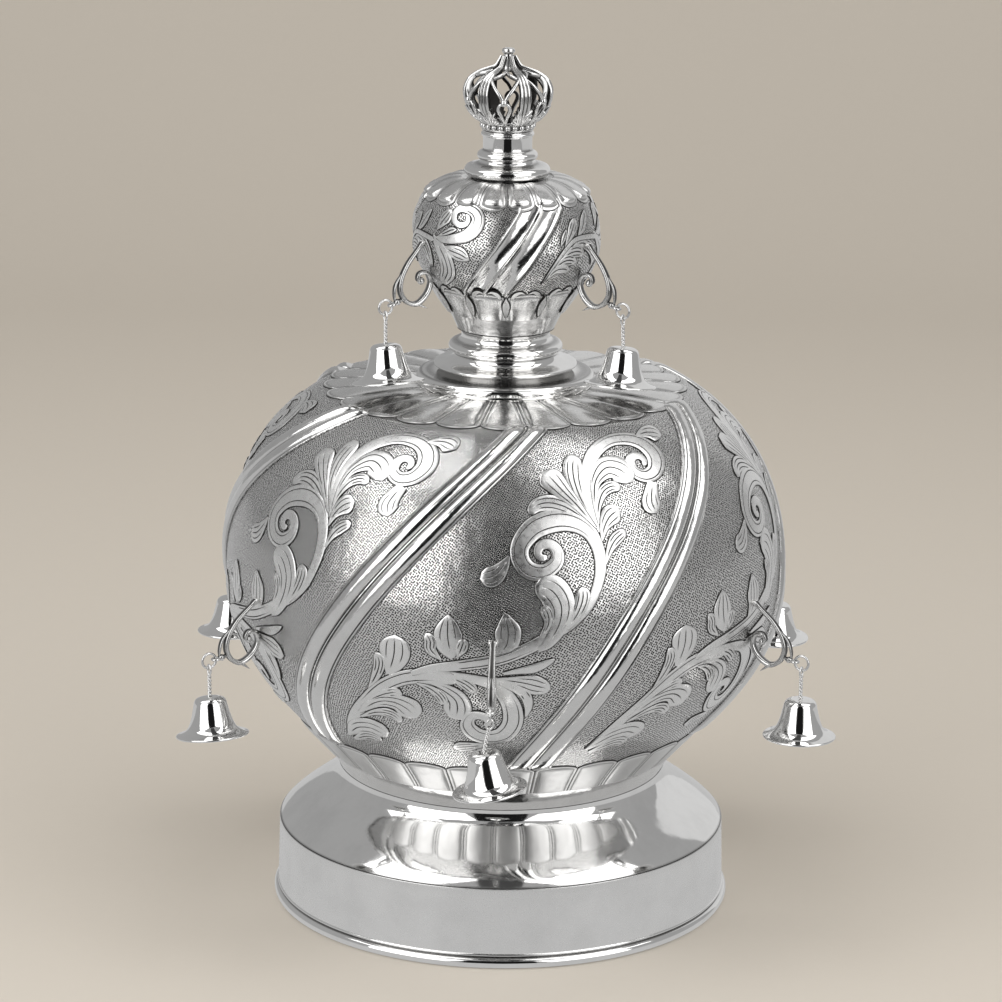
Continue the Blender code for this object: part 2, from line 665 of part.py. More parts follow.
def make_top_crown(material):
    """The small cast crown: a beaded base, six arches, six stems between and a knob.

    The wall is a grid of cells, and the cells between an arch and a stem are left out, with
    the edges of each opening closed from the outer to the inner side.
    """
    step = 360.0 / TOP_ARCHES
    half = step / 2
    places = np.array([-TOP_STEM_HALF_ANGLE, TOP_STEM_HALF_ANGLE, half - TOP_ARCH_HALF_ANGLE, half,
                       half + TOP_ARCH_HALF_ANGLE])
    solid = (True, False, True, True, False)
    azimuths = (TOP_AZIMUTH + np.arange(TOP_ARCHES)[:, None] * step + places[None, :]).ravel()
    ridge = np.tile([0.0, 0.0, 0.0, TOP_ARCH_RIDGE, 0.0], TOP_ARCHES)
    rows = top_crown_rows()
    outer, inner = [], []
    mesh = bmesh.new()
    inner_top = next(index for index, row in enumerate(rows) if index > 2 and not row[2])
    for index, (height, radius, pierced) in enumerate(rows):
        lift = ridge if radius > TOP_NECK_RADIUS * 2 and index > 2 else 0.0
        outer.append([mesh.verts.new(point) for point in ring(azimuths, radius + lift, height)])
        if index <= inner_top:
            inner_radius = radius - TOP_WALL * (2.2 if index == inner_top else 1.0)
            inner_z = height - (TOP_WALL if index == inner_top else 0.0)
            inner.append([mesh.verts.new(point) for point in ring(azimuths, inner_radius, inner_z)])
    columns = len(azimuths)

    def cell(rings, row, column):
        after = (column + 1) % columns
        return (rings[row][column], rings[row][after], rings[row + 1][after], rings[row + 1][column])

    def is_solid(row, column):
        return not rows[row][2] or solid[column % len(solid)]

    for row in range(len(rows) - 1):
        for column in range(columns):
            if not is_solid(row, column):
                continue
            mesh.faces.new(cell(outer, row, column))
            if row < inner_top:
                mesh.faces.new(cell(inner, row, column))
    for row in range(inner_top):
        for column in range(columns):
            before = (column - 1) % columns
            if is_solid(row, column) != is_solid(row, before):
                mesh.faces.new((outer[row][column], outer[row + 1][column],
                                inner[row + 1][column], inner[row][column]))
            below_solid = row == 0 or is_solid(row - 1, column)
            if row > 0 and is_solid(row, column) != below_solid:
                after = (column + 1) % columns
                mesh.faces.new((outer[row][column], outer[row][after],
                                inner[row][after], inner[row][column]))
    for column in range(columns):
        after = (column + 1) % columns
        mesh.faces.new((outer[0][column], outer[0][after], inner[0][after], inner[0][column]))
        if not is_solid(inner_top - 1, column):
            mesh.faces.new((outer[inner_top][column], outer[inner_top][after],
                            inner[inner_top][after], inner[inner_top][column]))
    mesh.faces.new(outer[-1])
    mesh.faces.new(inner[-1])
    place("top_crown", finish_mesh(mesh, "top_crown", 40.0), material)


def bell_mesh():
    """A bell turned about its own axis, with its crown at z = 0 and its mouth below."""
    outside = [(BELL_HOLE_RADIUS, 0.0), (BELL_SHOULDER_RADIUS, -BELL_SHOULDER_DROP),
               (BELL_THROAT_RADIUS, BELL_FLARE - BELL_HEIGHT), (BELL_RIM_RADIUS, BELL_WALL - BELL_HEIGHT)]
    inside = [(BELL_RIM_RADIUS, -BELL_HEIGHT),
              (BELL_THROAT_RADIUS - BELL_WALL, BELL_FLARE - BELL_HEIGHT - BELL_WALL * 0.4),
              (BELL_SHOULDER_RADIUS - BELL_WALL, -BELL_SHOULDER_DROP - BELL_WALL),
              (BELL_HOLE_RADIUS, -BELL_WALL)]
    return ring_body("bell", plain_rings(outside + inside, BELL_COLUMNS), 35.0)


def link_mesh():
    """The twisted wire that a bell hangs by, bent from one length.

    It runs from the knot under the bell's crown up to a loop round the hanging ring, and its
    end lies back beside the shank.  The origin is the middle of the hanging ring.
    """
    loop_top = HANG_RING_WIRE + FIT_GAP + LINK_WIRE - HANG_RING_RADIUS
    bell_top = -HANG_RING_RADIUS - LINK_LENGTH
    knot_top = bell_top - BELL_WALL - FIT_GAP
    half_loop = LINK_LOOP_WIDTH / 2
    loop_foot = loop_top - LINK_LOOP_HEIGHT
    path = [(0, knot_top - LINK_KNOT_RADIUS * 1.4), (0, knot_top - LINK_KNOT_RADIUS * 0.7),
            (0, knot_top), (0, loop_foot), (half_loop, loop_foot + LINK_LOOP_HEIGHT * 0.35),
            (half_loop * 0.75, loop_top - LINK_LOOP_HEIGHT * 0.10), (0, loop_top),
            (-half_loop * 0.75, loop_top - LINK_LOOP_HEIGHT * 0.10),
            (-half_loop, loop_foot + LINK_LOOP_HEIGHT * 0.35),
            (-LINK_WIRE * 4, loop_foot - LINK_WIRE)]
    radii = [LINK_WIRE, LINK_KNOT_RADIUS] + [LINK_WIRE * 1.5] * 2 + [LINK_WIRE] * 6
    along = np.gradient(np.array(path), axis=0)
    side = np.radians(np.arange(3) * 120.0)
    centres, sections = [], []
    for (y, z), (along_y, along_z), radius in zip(path, along, radii):
        size = math.hypot(along_y, along_z)
        across = Vector((0, along_z / size, -along_y / size))
        centres.append((0, y, z))
        sections.append([across * radius * math.cos(s) + Vector((radius * math.sin(s), 0, 0))
                         for s in side])
    return swept("link", centres, sections)


def bracket_mesh(reach, drop):
    """A cast scroll bracket, in the frame of its upper tip on the bulb.

    X points away from the bulb and Z up.  The curl's back lies on X = 0 like the tip, and
    the eye for the hanging ring is centred at the ring's inner side.
    """
    path = np.array(BRACKET_CURVE) * (reach, drop)
    path[0, 0] = FIT_GAP + BRACKET_THICKNESS * 0.4
    along = np.gradient(path, axis=0)
    along /= np.hypot(along[:, 0], along[:, 1])[:, None]
    share = np.linspace(0.0, 1.0, len(path))
    width = BRACKET_TIP_WIDTH + (BRACKET_WIDTH - BRACKET_TIP_WIDTH) * np.sin(math.pi * share)
    width[0] = BRACKET_WIDTH
    swell = np.ones(len(path))
    swell[-1] = BRACKET_END_SWELL
    centres, sections = [], []
    for (x, z), (along_x, along_z), wide, full in zip(path, along, width, swell):
        across = Vector((along_z, 0, -along_x)) * BRACKET_THICKNESS * full / 2
        side = Vector((0, wide / 2, 0))
        centres.append((x, 0, z))
        sections.append([across + side, across - side, -across])
    arm = swept("arm", centres, sections)

    eye_radius = HANG_RING_WIRE + FIT_GAP + BRACKET_EYE_WIRE * 1.2
    eye_x = reach - HANG_RING_RADIUS
    eye = wire_circle("eye", eye_radius, BRACKET_EYE_WIRE, 6)
    eye.transform(Matrix.Rotation(math.radians(90.0), 4, "X"))
    eye.transform(Matrix.Translation((eye_x, 0, -drop)))

    above, below = BRACKET_CURVE[4], BRACKET_CURVE[5]
    arm_x, arm_z = (above[0] + below[0]) / 2 * reach, (above[1] + below[1]) / 2 * drop
    calyx = cone_between("calyx", (arm_x, 0, arm_z),
                         (eye_x - eye_radius, 0, -drop), BRACKET_CALYX_RADII, 3)
    spike_x, spike_z = BRACKET_CURVE[6][0] * reach, BRACKET_CURVE[6][1] * drop
    spike = cone_between("spike", (spike_x, 0, spike_z),
                         (spike_x - reach * BRACKET_SPIKE_SHARE[0], 0,
                          spike_z - drop * BRACKET_SPIKE_SHARE[1]), BRACKET_SPIKE_RADII, 3)
    return united("bracket", [arm, calyx, eye, spike])


def cone_between(name, start, end, radii, sides):
    """A straight tapered bar between two points."""
    start, end = Vector(start), Vector(end)
    along = (end - start).normalized()
    aside = along.orthogonal().normalized()
    across = along.cross(aside)
    turn = np.radians(np.arange(sides) * 360.0 / sides)
    spokes = [aside * math.cos(t) + across * math.sin(t) for t in turn]
    sections = [[spoke * radius for spoke in spokes] for radius in radii]
    return swept(name, [start, end], sections)


def bracket_frame(outline, tip_z):
    """Where a bracket's tip meets a bulb, and how far the bulb's slope leans it.

    The lean is the angle of the chord between the bracket's two resting places.
    """
    tip_r = outline.radius_at_height(tip_z)
    heights = np.linspace(tip_z - BRACKET_CHORD * 1.2, tip_z - BRACKET_CHORD * 0.5, 60)
    gaps = [abs(math.hypot(outline.radius_at_height(z) - tip_r, z - tip_z) - BRACKET_CHORD)
            for z in heights]
    low_z = heights[int(np.argmin(gaps))]
    low_r = outline.radius_at_height(low_z)
    return tip_r, math.atan2(tip_r - low_r, tip_z - low_z)


def hang_bells(tier, azimuths, swings, tilts, outline, tip_z, reach, drop, parts, silvers):
    """A tier of brackets, each with its ring, its twisted link and its bell.

    The swings are the angles in degrees by which the links hang to one side from the lowest
    point of their rings, and the tilts are those of the bells.
    """
    bell, link, ring_data = parts
    tip_r, lean = bracket_frame(outline, tip_z)
    bracket = bracket_mesh(reach, drop)
    lean_turn = Matrix.Rotation(lean, 4, "Y")
    ring_place = Matrix.Translation((tip_r, 0, tip_z)) @ lean_turn @ Vector((reach, 0, -drop))
    for number, (azimuth, swing, tilt) in enumerate(zip(azimuths, swings, tilts), 1):
        turn = Matrix.Rotation(math.radians(azimuth - 90.0), 4, "Z")
        at_tip = turn @ Matrix.Translation((tip_r, 0, tip_z)) @ lean_turn
        at_ring = turn @ Matrix.Translation(ring_place)
        ring_foot = Matrix.Translation((0, 0, -HANG_RING_RADIUS))
        hanging = at_ring @ ring_foot @ Matrix.Rotation(math.radians(swing), 4, "X")
        at_bell = hanging @ Matrix.Translation((0, 0, -LINK_LENGTH))
        at_bell = at_bell @ Matrix.Rotation(math.radians(tilt - swing), 4, "X")
        place(f"{tier}_bracket_{number}", bracket, silvers["cast"], at_tip)
        place(f"{tier}_ring_{number}", ring_data, silvers["wire"], at_ring)
        place(f"{tier}_link_{number}", link, silvers["wire"], hanging @ ring_foot.inverted())
        place(f"{tier}_bell_{number}", bell, silvers["polished"], at_bell)


def main():
    """Build every piece of the crown."""
    clear_scene()
    silvers = {
        "polished": silver("polished_silver", 0.86, 0.12),
        "chased": silver("chased_silver", 0.66, 0.28),
        "cast": silver("cast_silver", 0.74, 0.22),
        "wire": silver("silver_wire", 0.82, 0.18),
    }
    make_foot(silvers["polished"])
    make_large_bulb(silvers["chased"])
    make_neck(silvers["polished"])
    make_small_bulb(silvers["chased"])
    make_collar(silvers["polished"])
    make_top_crown(silvers["cast"])
    parts = (bell_mesh(), link_mesh(),
             wire_circle("hanging_ring", HANG_RING_RADIUS, HANG_RING_WIRE, 8))
    hang_bells("lower", LOWER_BELL_AZIMUTHS, LOWER_LINK_SWINGS, LOWER_BELL_TILTS, bulb_outline(),
               BULB_Z + LOWER_BRACKET_RISE, LOWER_BRACKET_REACH, LOWER_BRACKET_DROP, parts, silvers)
    hang_bells("upper", UPPER_BELL_AZIMUTHS, UPPER_LINK_SWINGS, UPPER_BELL_TILTS, small_outline(),
               SMALL_Z + UPPER_BRACKET_RISE, UPPER_BRACKET_REACH, UPPER_BRACKET_DROP, parts, silvers)


main()
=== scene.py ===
"""Looks of a silver crown for a Torah scroll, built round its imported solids.

Sizes are in millimetres here and turn into metres when a mesh is made.  +Z is up, z = 0 is
the plane the foot stands on, the crown's axis is the Z axis and -Y is its front.  Azimuths
are in degrees from the front towards +X.
"""

import logging
from dataclasses import dataclass
from enum import Enum

import bpy
import numpy as np
from mathutils import Matrix

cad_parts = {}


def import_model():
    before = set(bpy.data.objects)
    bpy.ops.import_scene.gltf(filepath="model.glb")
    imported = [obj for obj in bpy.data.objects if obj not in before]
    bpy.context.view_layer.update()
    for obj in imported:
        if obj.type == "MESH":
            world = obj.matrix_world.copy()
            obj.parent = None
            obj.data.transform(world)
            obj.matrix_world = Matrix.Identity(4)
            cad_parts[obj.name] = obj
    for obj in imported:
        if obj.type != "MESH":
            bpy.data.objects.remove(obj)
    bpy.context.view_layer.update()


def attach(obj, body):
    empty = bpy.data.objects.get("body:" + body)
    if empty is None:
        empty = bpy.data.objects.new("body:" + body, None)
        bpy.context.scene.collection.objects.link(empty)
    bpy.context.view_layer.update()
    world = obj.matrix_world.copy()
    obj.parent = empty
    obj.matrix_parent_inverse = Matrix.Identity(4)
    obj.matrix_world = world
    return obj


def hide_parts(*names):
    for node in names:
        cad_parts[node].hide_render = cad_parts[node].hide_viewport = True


MM = 0.001
SHARP_ANGLE = 48.0
VEINED_WIDTH = 1.5
PLAIN_WIDTH = 1.2
LOG = logging.getLogger("crown")
Array = np.ndarray


class Slot(Enum):
    """The record's material slots."""

    POLISHED = "polished_silver"
    CHASED = "chased_silver"
    BELL = "bell_silver"
    CAST = "cast_silver"
    WIRE = "silver_wire"


# Curves and outlines


def bezier(controls: tuple, count: int) -> Array:
    """Points of a cubic Bezier curve: the four controls weighted by the cubic binomials.

    Args:
        controls: Four (radius, height) pairs.
        count: How many points.

    Returns:
        Array of shape (count, 2).
    """
    start, first, second, end = (np.array(point, float) for point in controls)
    t = np.linspace(0.0, 1.0, count)[:, None]
    near, far = 1 - t, t
    return near**3 * start + 3 * near**2 * far * first + 3 * near * far**2 * second + far**3 * end


def arc(centre: tuple, radius: float, start: float, end: float, count: int) -> Array:
    """Points of a circle's arc between two angles in degrees, in (radius, height)."""
    turn = np.radians(np.linspace(start, end, count))
    return np.stack([centre[0] + radius * np.cos(turn), centre[1] + radius * np.sin(turn)], axis=1)


def smooth_path(knots: Array, count: int) -> Array:
    """A Catmull-Rom curve: through every knot, its slope there half the step between neighbours.

    Args:
        knots: Array of shape (n, k).
        count: How many points to return.

    Returns:
        Array of shape (count, k).
    """
    knots = np.asarray(knots, float)
    padded = np.vstack([2 * knots[:1] - knots[1:2], knots, 2 * knots[-1:] - knots[-2:-1]])
    place = np.linspace(0.0, len(knots) - 1.0, count)
    index = np.minimum(place.astype(int), len(knots) - 2)
    t = (place - index)[:, None]
    a, b, c, d = (padded[index + step] for step in range(4))
    return 0.5 * (2 * b + (c - a) * t + (2 * a - 5 * b + 4 * c - d) * t**2
                  + (3 * b - a - 3 * c + d) * t**3)


def blend(value: Array, low: float, high: float) -> Array:
    """Smooth step: 0 below low, 1 above high, and 3t2 - 2t3 between."""
    t = np.clip((value - low) / (high - low), 0.0, 1.0)
    return t * t * (3 - 2 * t)


def bump(value: Array, centre: float, width: float) -> Array:
    """A bell-shaped bump of height 1: exp(-((value - centre) / width) squared)."""
    return np.exp(-(((value - centre) / width) ** 2))


def dome(value: Array, centre: float, half: float) -> Array:
    """Half an ellipse of height 1: the root of 1 - ((value - centre) / half) squared, or 0."""
    return np.sqrt(np.clip(1.0 - ((value - centre) / half) ** 2, 0.0, None))


class Outline:
    """A turned outline measured along its own length, in millimetres."""

    def __init__(self, points: Array) -> None:
        """Measures the outline.

        Args:
            points: (radius, height) pairs in order.
        """
        self.points = np.asarray(points, float)
        steps = np.linalg.norm(np.diff(self.points, axis=0), axis=1)
        self.lengths = np.concatenate([[0.0], np.cumsum(steps)])
        self.total = float(self.lengths[-1])

    def at(self, length: Array) -> tuple[Array, Array]:
        """Radius and height at distances along the outline."""
        return (np.interp(length, self.lengths, self.points[:, 0]),
                np.interp(length, self.lengths, self.points[:, 1]))

    def normal(self, length: Array) -> tuple[Array, Array]:
        """Radial and upright part of the outward normal, from the points 1% ahead and behind."""
        span = self.total * 0.01
        ahead = self.at(np.minimum(length + span, self.total))
        behind = self.at(np.maximum(length - span, 0.0))
        out, up = ahead[0] - behind[0], ahead[1] - behind[1]
        size = np.hypot(out, up)
        return up / size, -out / size

    def surface(self, azimuth: Array, length: Array, lift: Array) -> Array:
        """Points on the turned surface, moved along its normal.

        Args:
            azimuth: Degrees from the front.
            length: Distance along the outline.
            lift: Height above the surface.

        Returns:
            Array of points, one for each broadcast place.
        """
        azimuth, length, lift = np.broadcast_arrays(azimuth, length, lift)
        radius, height = self.at(length)
        out, up = self.normal(length)
        angle = np.radians(azimuth)
        reach = radius + out * lift
        return np.stack([reach * np.sin(angle), -reach * np.cos(angle), height + up * lift], axis=-1)

    def strip(self, line: tuple, place: Array) -> tuple[Array, Array, Array]:
        """Rows laid on the surface square across a line.

        Args:
            line: Azimuth, length and half width at each point of the line.
            place: Places across it, from -1 to 1.

        Returns:
            Distance from the line in mm, azimuth and length of each point.
        """
        azimuth, length, half = line
        radius = self.at(length)[0]
        over = np.gradient(np.radians(azimuth)) * radius
        up = np.gradient(length)
        size = np.hypot(over, up)
        wide = place * half[:, None]
        spread = azimuth[:, None] - np.degrees(wide * (up / size / radius)[:, None])
        return wide, spread, length[:, None] + wide * (over / size)[:, None]


# Meshes


def hemmed(values: Array) -> Array:
    """Rows with their last and first values added once more, for the two sunken borders."""
    return np.concatenate([values, values[:, -1:], values[:, :1]], axis=1)


def linked(name: str, data: bpy.types.ID) -> bpy.types.Object:
    """A new object of that data, linked to the scene."""
    item = bpy.data.objects.new(name, data)
    bpy.context.scene.collection.objects.link(item)
    return item


class Sheets:
    """Gathers grids of points into one mesh, with named numbers at each point."""

    def __init__(self, *marks: str) -> None:
        """Starts an empty gathering.

        Args:
            marks: Names of the numbers that materials read.
        """
        self.marks = {name: [] for name in marks}
        self.points: list[Array] = []
        self.quads: list[Array] = []
        self.caps: list[Array] = []
        self.count = 0

    def grid(self, points: Array, rows_round: bool = False, columns_round: bool = False,
             capped: bool = False, **marks: Array) -> None:
        """Adds a grid of points and the four-sided faces between neighbours.

        A grid that is closed all round is turned the right way by the sign of its volume,
        the sum of the boxes that its triangles span with the origin.

        Args:
            points: Array of shape (rows, columns, 3).
            rows_round: Whether the last row joins the first.
            columns_round: Whether the last column joins the first.
            capped: Whether the first and last rows are closed by a face each.
            marks: A number for each point; marks left out are 0.
        """
        rows, columns = points.shape[:2]
        down = np.arange(rows if rows_round else rows - 1)[:, None]
        over = np.arange(columns if columns_round else columns - 1)[None, :]
        below, beside = (down + 1) % rows, (over + 1) % columns
        quads = np.stack([down * columns + over, down * columns + beside,
                          below * columns + beside, below * columns + over], axis=-1).reshape(-1, 4)
        caps = []
        if capped:
            caps = [np.arange(columns)[::-1], (rows - 1) * columns + np.arange(columns)]
        flat = points.reshape(-1, 3)
        if columns_round and (capped or rows_round):
            a, b, c, d = (flat[quads[:, k]] - flat[0] for k in range(4))
            volume = np.einsum("ij,ij->", a, np.cross(b, c)) + np.einsum("ij,ij->", a, np.cross(c, d))
            if volume < 0:
                quads = quads[:, ::-1]
                caps = [cap[::-1] for cap in caps]
        self.points.append(flat)
        self.quads.append(quads + self.count)
        self.caps += [cap + self.count for cap in caps]
        for name, values in self.marks.items():
            given = np.broadcast_to(marks.get(name, 0.0), (rows, columns))
            values.append(given.reshape(-1))
        self.count += len(flat)

    def ring(self, loop: Array, columns: int, **marks: Array) -> None:
        """Adds a closed outline turned round the axis, its marks held between 0 and 1."""
        held = {name: np.clip(values, 0.0, 1.0)[:, None] for name, values in marks.items()}
        self.grid(turned(loop, columns), rows_round=True, columns_round=True, **held)

    def build(self, name: str, slot: Slot, material: bpy.types.Material,
              *nodes: str) -> bpy.types.Object:
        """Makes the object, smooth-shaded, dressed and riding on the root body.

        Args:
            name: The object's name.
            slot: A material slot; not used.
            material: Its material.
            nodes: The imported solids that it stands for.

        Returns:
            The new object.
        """
        mesh = bpy.data.meshes.new(name)
        points = np.concatenate(self.points) * MM
        quads = np.concatenate(self.quads)
        corners = np.concatenate([quads.reshape(-1), *self.caps]).astype(np.int32)
        sizes = np.concatenate([np.full(len(quads), 4), [len(cap) for cap in self.caps]])
        sizes = sizes.astype(np.int32)
        mesh.vertices.add(len(points))
        mesh.vertices.foreach_set("co", points.reshape(-1))
        mesh.loops.add(len(corners))
        mesh.loops.foreach_set("vertex_index", corners)
        mesh.polygons.add(len(sizes))
        starts = np.concatenate([[0], np.cumsum(sizes)[:-1]]).astype(np.int32)
        mesh.polygons.foreach_set("loop_start", starts)
        mesh.polygons.foreach_set("loop_total", sizes)
        mesh.update(calc_edges=True)
        mesh.validate()
        for mark, values in self.marks.items():
            layer = mesh.attributes.new(mark, "FLOAT", "POINT")
            layer.data.foreach_set("value", np.concatenate(values).astype(np.float32))
        mesh.shade_smooth()
        mesh.set_sharp_from_angle(angle=np.radians(SHARP_ANGLE))
        item = linked(name, mesh)
        mesh.materials.append(material)
        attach(item, "root")
        if nodes:
            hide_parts(*nodes)
        triangles = int((sizes - 2).sum())
        LOG.info("%s: %d triangles", name, triangles)
        return item


def turned(outline: Array, columns: int, centre: tuple = (0.0, 0.0, 0.0)) -> Array:
    """Points of an outline turned round an upright axis, a row for each outline point."""
    angle = np.radians(np.arange(columns) * 360.0 / columns)[None, :]
    radius, height = outline[:, :1], outline[:, 1:]
    return np.stack(np.broadcast_arrays(centre[0] + radius * np.sin(angle),
                                        centre[1] - radius * np.cos(angle),
                                        centre[2] + height + 0 * angle), axis=-1)


def carried(path: Array, section: Array, side: tuple) -> Array:
    """A section carried along a path: each section point is the path's point plus its first
    number times the path's normal and its second times the crosswise direction.

    Args:
        path: Array of shape (n, 3).
        section: Array of shape (m, 2) or (n, m, 2), as (normal, crosswise).
        side: The direction that the crosswise direction lies nearest to.

    Returns:
        Array of shape (n, m, 3).
    """
    along = np.gradient(path, axis=0)
    along /= np.linalg.norm(along, axis=1)[:, None]
    normal = np.cross(np.broadcast_to(np.array(side, float), along.shape), along)
    normal /= np.linalg.norm(normal, axis=1)[:, None]
    cross = np.cross(along, normal)
    section = np.broadcast_to(section, (len(path),) + np.shape(section)[-2:])
    return (path[:, None, :] + section[..., :1] * normal[:, None, :]
            + section[..., 1:] * cross[:, None, :])


def round_section(radius: float, count: int = 10) -> Array:
    """A round section of the given radius."""
    turn = np.radians(np.arange(count) * 360.0 / count)
    return radius * np.stack([np.cos(turn), np.sin(turn)], axis=1)


# Finishes


class Graph:
    """Short calls for building one material's nodes."""

    def __init__(self, name: str) -> None:
        """Starts a material whose shader is a plain metal."""
        self.material = bpy.data.materials.new(name)
        self.material.use_nodes = True
        self.nodes = self.material.node_tree.nodes
        self.links = self.material.node_tree.links
        self.shader = self.nodes["Principled BSDF"]
        self.shader.inputs["Metallic"].default_value = 1.0

    def add(self, kind: str, inputs: dict | None = None, **settings: object) -> bpy.types.Node:
        """Adds a node, sets its settings, and sets or links its inputs.

        Args:
            kind: The node's type name after "ShaderNode".
            inputs: Values or sockets by input name or number.
            settings: Attributes of the node.

        Returns:
            The node.
        """
        node = self.nodes.new("ShaderNode" + kind)
        for key, value in settings.items():
            setattr(node, key, value)
        for key, value in (inputs or {}).items():
            self.feed(node.inputs[key], value)
        return node

    def feed(self, socket: bpy.types.NodeSocket, value: object) -> None:
        """Links a socket to another, or sets its value."""
        if isinstance(value, bpy.types.NodeSocket):
            self.links.new(value, socket)
        else:
            socket.default_value = value

    def shade(self, inputs: dict) -> None:
        """Sets or links the shader's inputs by name."""
        for name, value in inputs.items():
            self.feed(self.shader.inputs[name], value)

    def clouded(self, tone: tuple) -> bpy.types.NodeSocket:
        """A tone with faint darker clouds in it."""
        clouds = self.spread(self.noise(60.0, 4.0, 0.6), 0.3, 0.75, 0.0, 0.5)
        return self.mix(clouds, (*tone, 1.0), tuple(value * 0.84 for value in tone) + (1.0,))

    def mark(self, name: str) -> bpy.types.NodeSocket:
        """The number of that name at each point of the mesh."""
        return self.add("Attribute", attribute_name=name).outputs["Fac"]

    def place(self) -> bpy.types.NodeSocket:
        """Object coordinates, in metres."""
        return self.add("TexCoord").outputs["Object"]

    def noise(self, scale: float, detail: float = 3.0, roughness: float = 0.5) -> bpy.types.NodeSocket:
        """Noise in object coordinates."""
        node = self.add("TexNoise", {"Vector": self.place(), "Scale": scale, "Detail": detail,
                                     "Roughness": roughness})
        return node.outputs["Fac"]

    def spread(self, value: object, low: float, high: float, to_low: float,
               to_high: float) -> bpy.types.NodeSocket:
        """A value's range stretched smoothly to another range."""
        node = self.add("MapRange", {0: value, 1: low, 2: high, 3: to_low, 4: to_high},
                        interpolation_type="SMOOTHSTEP")
        return node.outputs[0]

    def math(self, operation: str, first: object, second: object = 0.0,
             clamp: bool = True) -> bpy.types.NodeSocket:
        """One sum of two numbers, held between 0 and 1 if clamp is set."""
        return self.add("Math", {0: first, 1: second}, operation=operation, use_clamp=clamp).outputs[0]

    def mix(self, share: object, first: object, second: object) -> bpy.types.NodeSocket:
        """A colour between two by a share."""
        node = self.add("Mix", {"Factor": share}, data_type="RGBA")
        self.feed(node.inputs[6], first)
        self.feed(node.inputs[7], second)
        return node.outputs[2]

    def bumps(self, *layers: tuple) -> None:
        """Stacks bump layers, each a (height socket, depth in metres), into the shader's normal."""
        normal = None
        for height, depth in layers:
            node = self.add("Bump", {"Height": height, "Distance": depth, "Strength": 1.0})
            if normal is not None:
                self.links.new(normal, node.inputs["Normal"])
            normal = node.outputs["Normal"]
        self.links.new(normal, self.shader.inputs["Normal"])


@dataclass(frozen=True)
class SilverFinish:
    """Silver with tarnish and painted shade in its hollows, faint wipe marks and the waviness of hand work.
    """

    name: str
    tone: tuple[float, float, float]
    roughness: tuple[float, float]
    wave: float
    satin: float = 0.0
    # Near black of the hollows: painted shade and tarnish.
    hollow_tone: tuple[float, float, float] = (0.045, 0.043, 0.041)

    def material(self) -> bpy.types.Material:
        """The material: darkened where the mark "hollow" is high, as painted shade and tarnish, duller
        where "satin" is.
        """
        graph = Graph(self.name)
        clean = (*self.tone, 1.0)
        dull = tuple(value * 0.86 for value in self.tone) + (1.0,)
        clouds = graph.spread(graph.noise(55.0, 4.0, 0.6), 0.35, 0.75, 0.0, 0.55)
        base = graph.mix(clouds, clean, dull)
        hollow = graph.mark("hollow")
        # Painted shade and tarnish: the hollows are mixed towards the near-black hollow tone.
        graph.feed(graph.shader.inputs["Base Color"], graph.mix(hollow, base, (*self.hollow_tone, 1.0)))
        low, high = self.roughness
        gloss = graph.spread(graph.noise(420.0, 5.0, 0.65), 0.3, 0.75, low, high)
        rough = graph.math("ADD", gloss, graph.math("MULTIPLY", hollow, 0.3))
        if self.satin:
            rough = graph.math("ADD", rough, graph.math("MULTIPLY", graph.mark("satin"), self.satin))
        graph.feed(graph.shader.inputs["Roughness"], rough)
        graph.bumps((graph.noise(95.0, 1.0), self.wave), (graph.noise(2600.0, 2.0), 0.000004))
        return graph.material


@dataclass(frozen=True)
class ChasedFinish:
    """Silver whose ground is stippled by a round punch in close, uneven rows.

    The rows are turned by the row turn, in radians, and are the less regular the higher the
    unevenness is, from 0 to 1.  The spacing is in millimetres and the depth in metres.
    """

    name: str
    tone: tuple[float, float, float] = (0.80, 0.795, 0.785)
    ground_tone: tuple[float, float, float] = (0.76, 0.755, 0.745)
    # Near black of the punch marks: painted shade and tarnish in the pits.
    pit_tone: tuple[float, float, float] = (0.045, 0.043, 0.041)
    pit_spacing: float = 1.0
    pit_depth: float = 0.00026
    row_turn: float = 0.55
    unevenness: float = 0.42

    def material(self) -> bpy.types.Material:
        """The material: punch marks where "ground" is 1, laid out by "around" and "along" in mm."""
        graph = Graph(self.name)
        flat = graph.add("CombineXYZ", {"X": graph.mark("around"), "Y": graph.mark("along")})
        rows = graph.add("Mapping", {"Vector": flat.outputs[0], "Rotation": (0.0, 0.0, self.row_turn)})
        cells = graph.add("TexVoronoi", {"Vector": rows.outputs[0], "Scale": 1.0 / self.pit_spacing,
                                         "Randomness": self.unevenness},
                          feature="F1", voronoi_dimensions="2D")
        land = graph.spread(cells.outputs["Distance"], 0.24, 0.40, 0.0, 1.0)
        ground = graph.mark("ground")
        hollow = graph.mark("hollow")
        pit = graph.math("MULTIPLY", graph.math("SUBTRACT", 1.0, land), ground)
        base = graph.mix(ground, graph.clouded(self.tone), (*self.ground_tone, 1.0))
        # The punch marks are painted near black with the pit tone: painted shade and tarnish.
        pitted = graph.mix(pit, base, (*self.pit_tone, 1.0))
        # The rib grooves are painted near black as well: painted shade and tarnish.
        colour = graph.mix(hollow, pitted, (0.04, 0.038, 0.036, 1.0))
        graph.feed(graph.shader.inputs["Base Color"], colour)
        gloss = graph.spread(graph.noise(500.0, 5.0, 0.6), 0.3, 0.75, 0.12, 0.20)
        rough = graph.math("ADD", gloss, graph.math("MULTIPLY", ground, 0.07))
        rough = graph.math("ADD", rough, graph.math("MULTIPLY", hollow, 0.25))
        graph.feed(graph.shader.inputs["Roughness"], rough)
        height = graph.math("SUBTRACT", 1.0, pit)
        graph.bumps((graph.noise(120.0, 2.0), 0.00035), (height, self.pit_depth))
        return graph.material


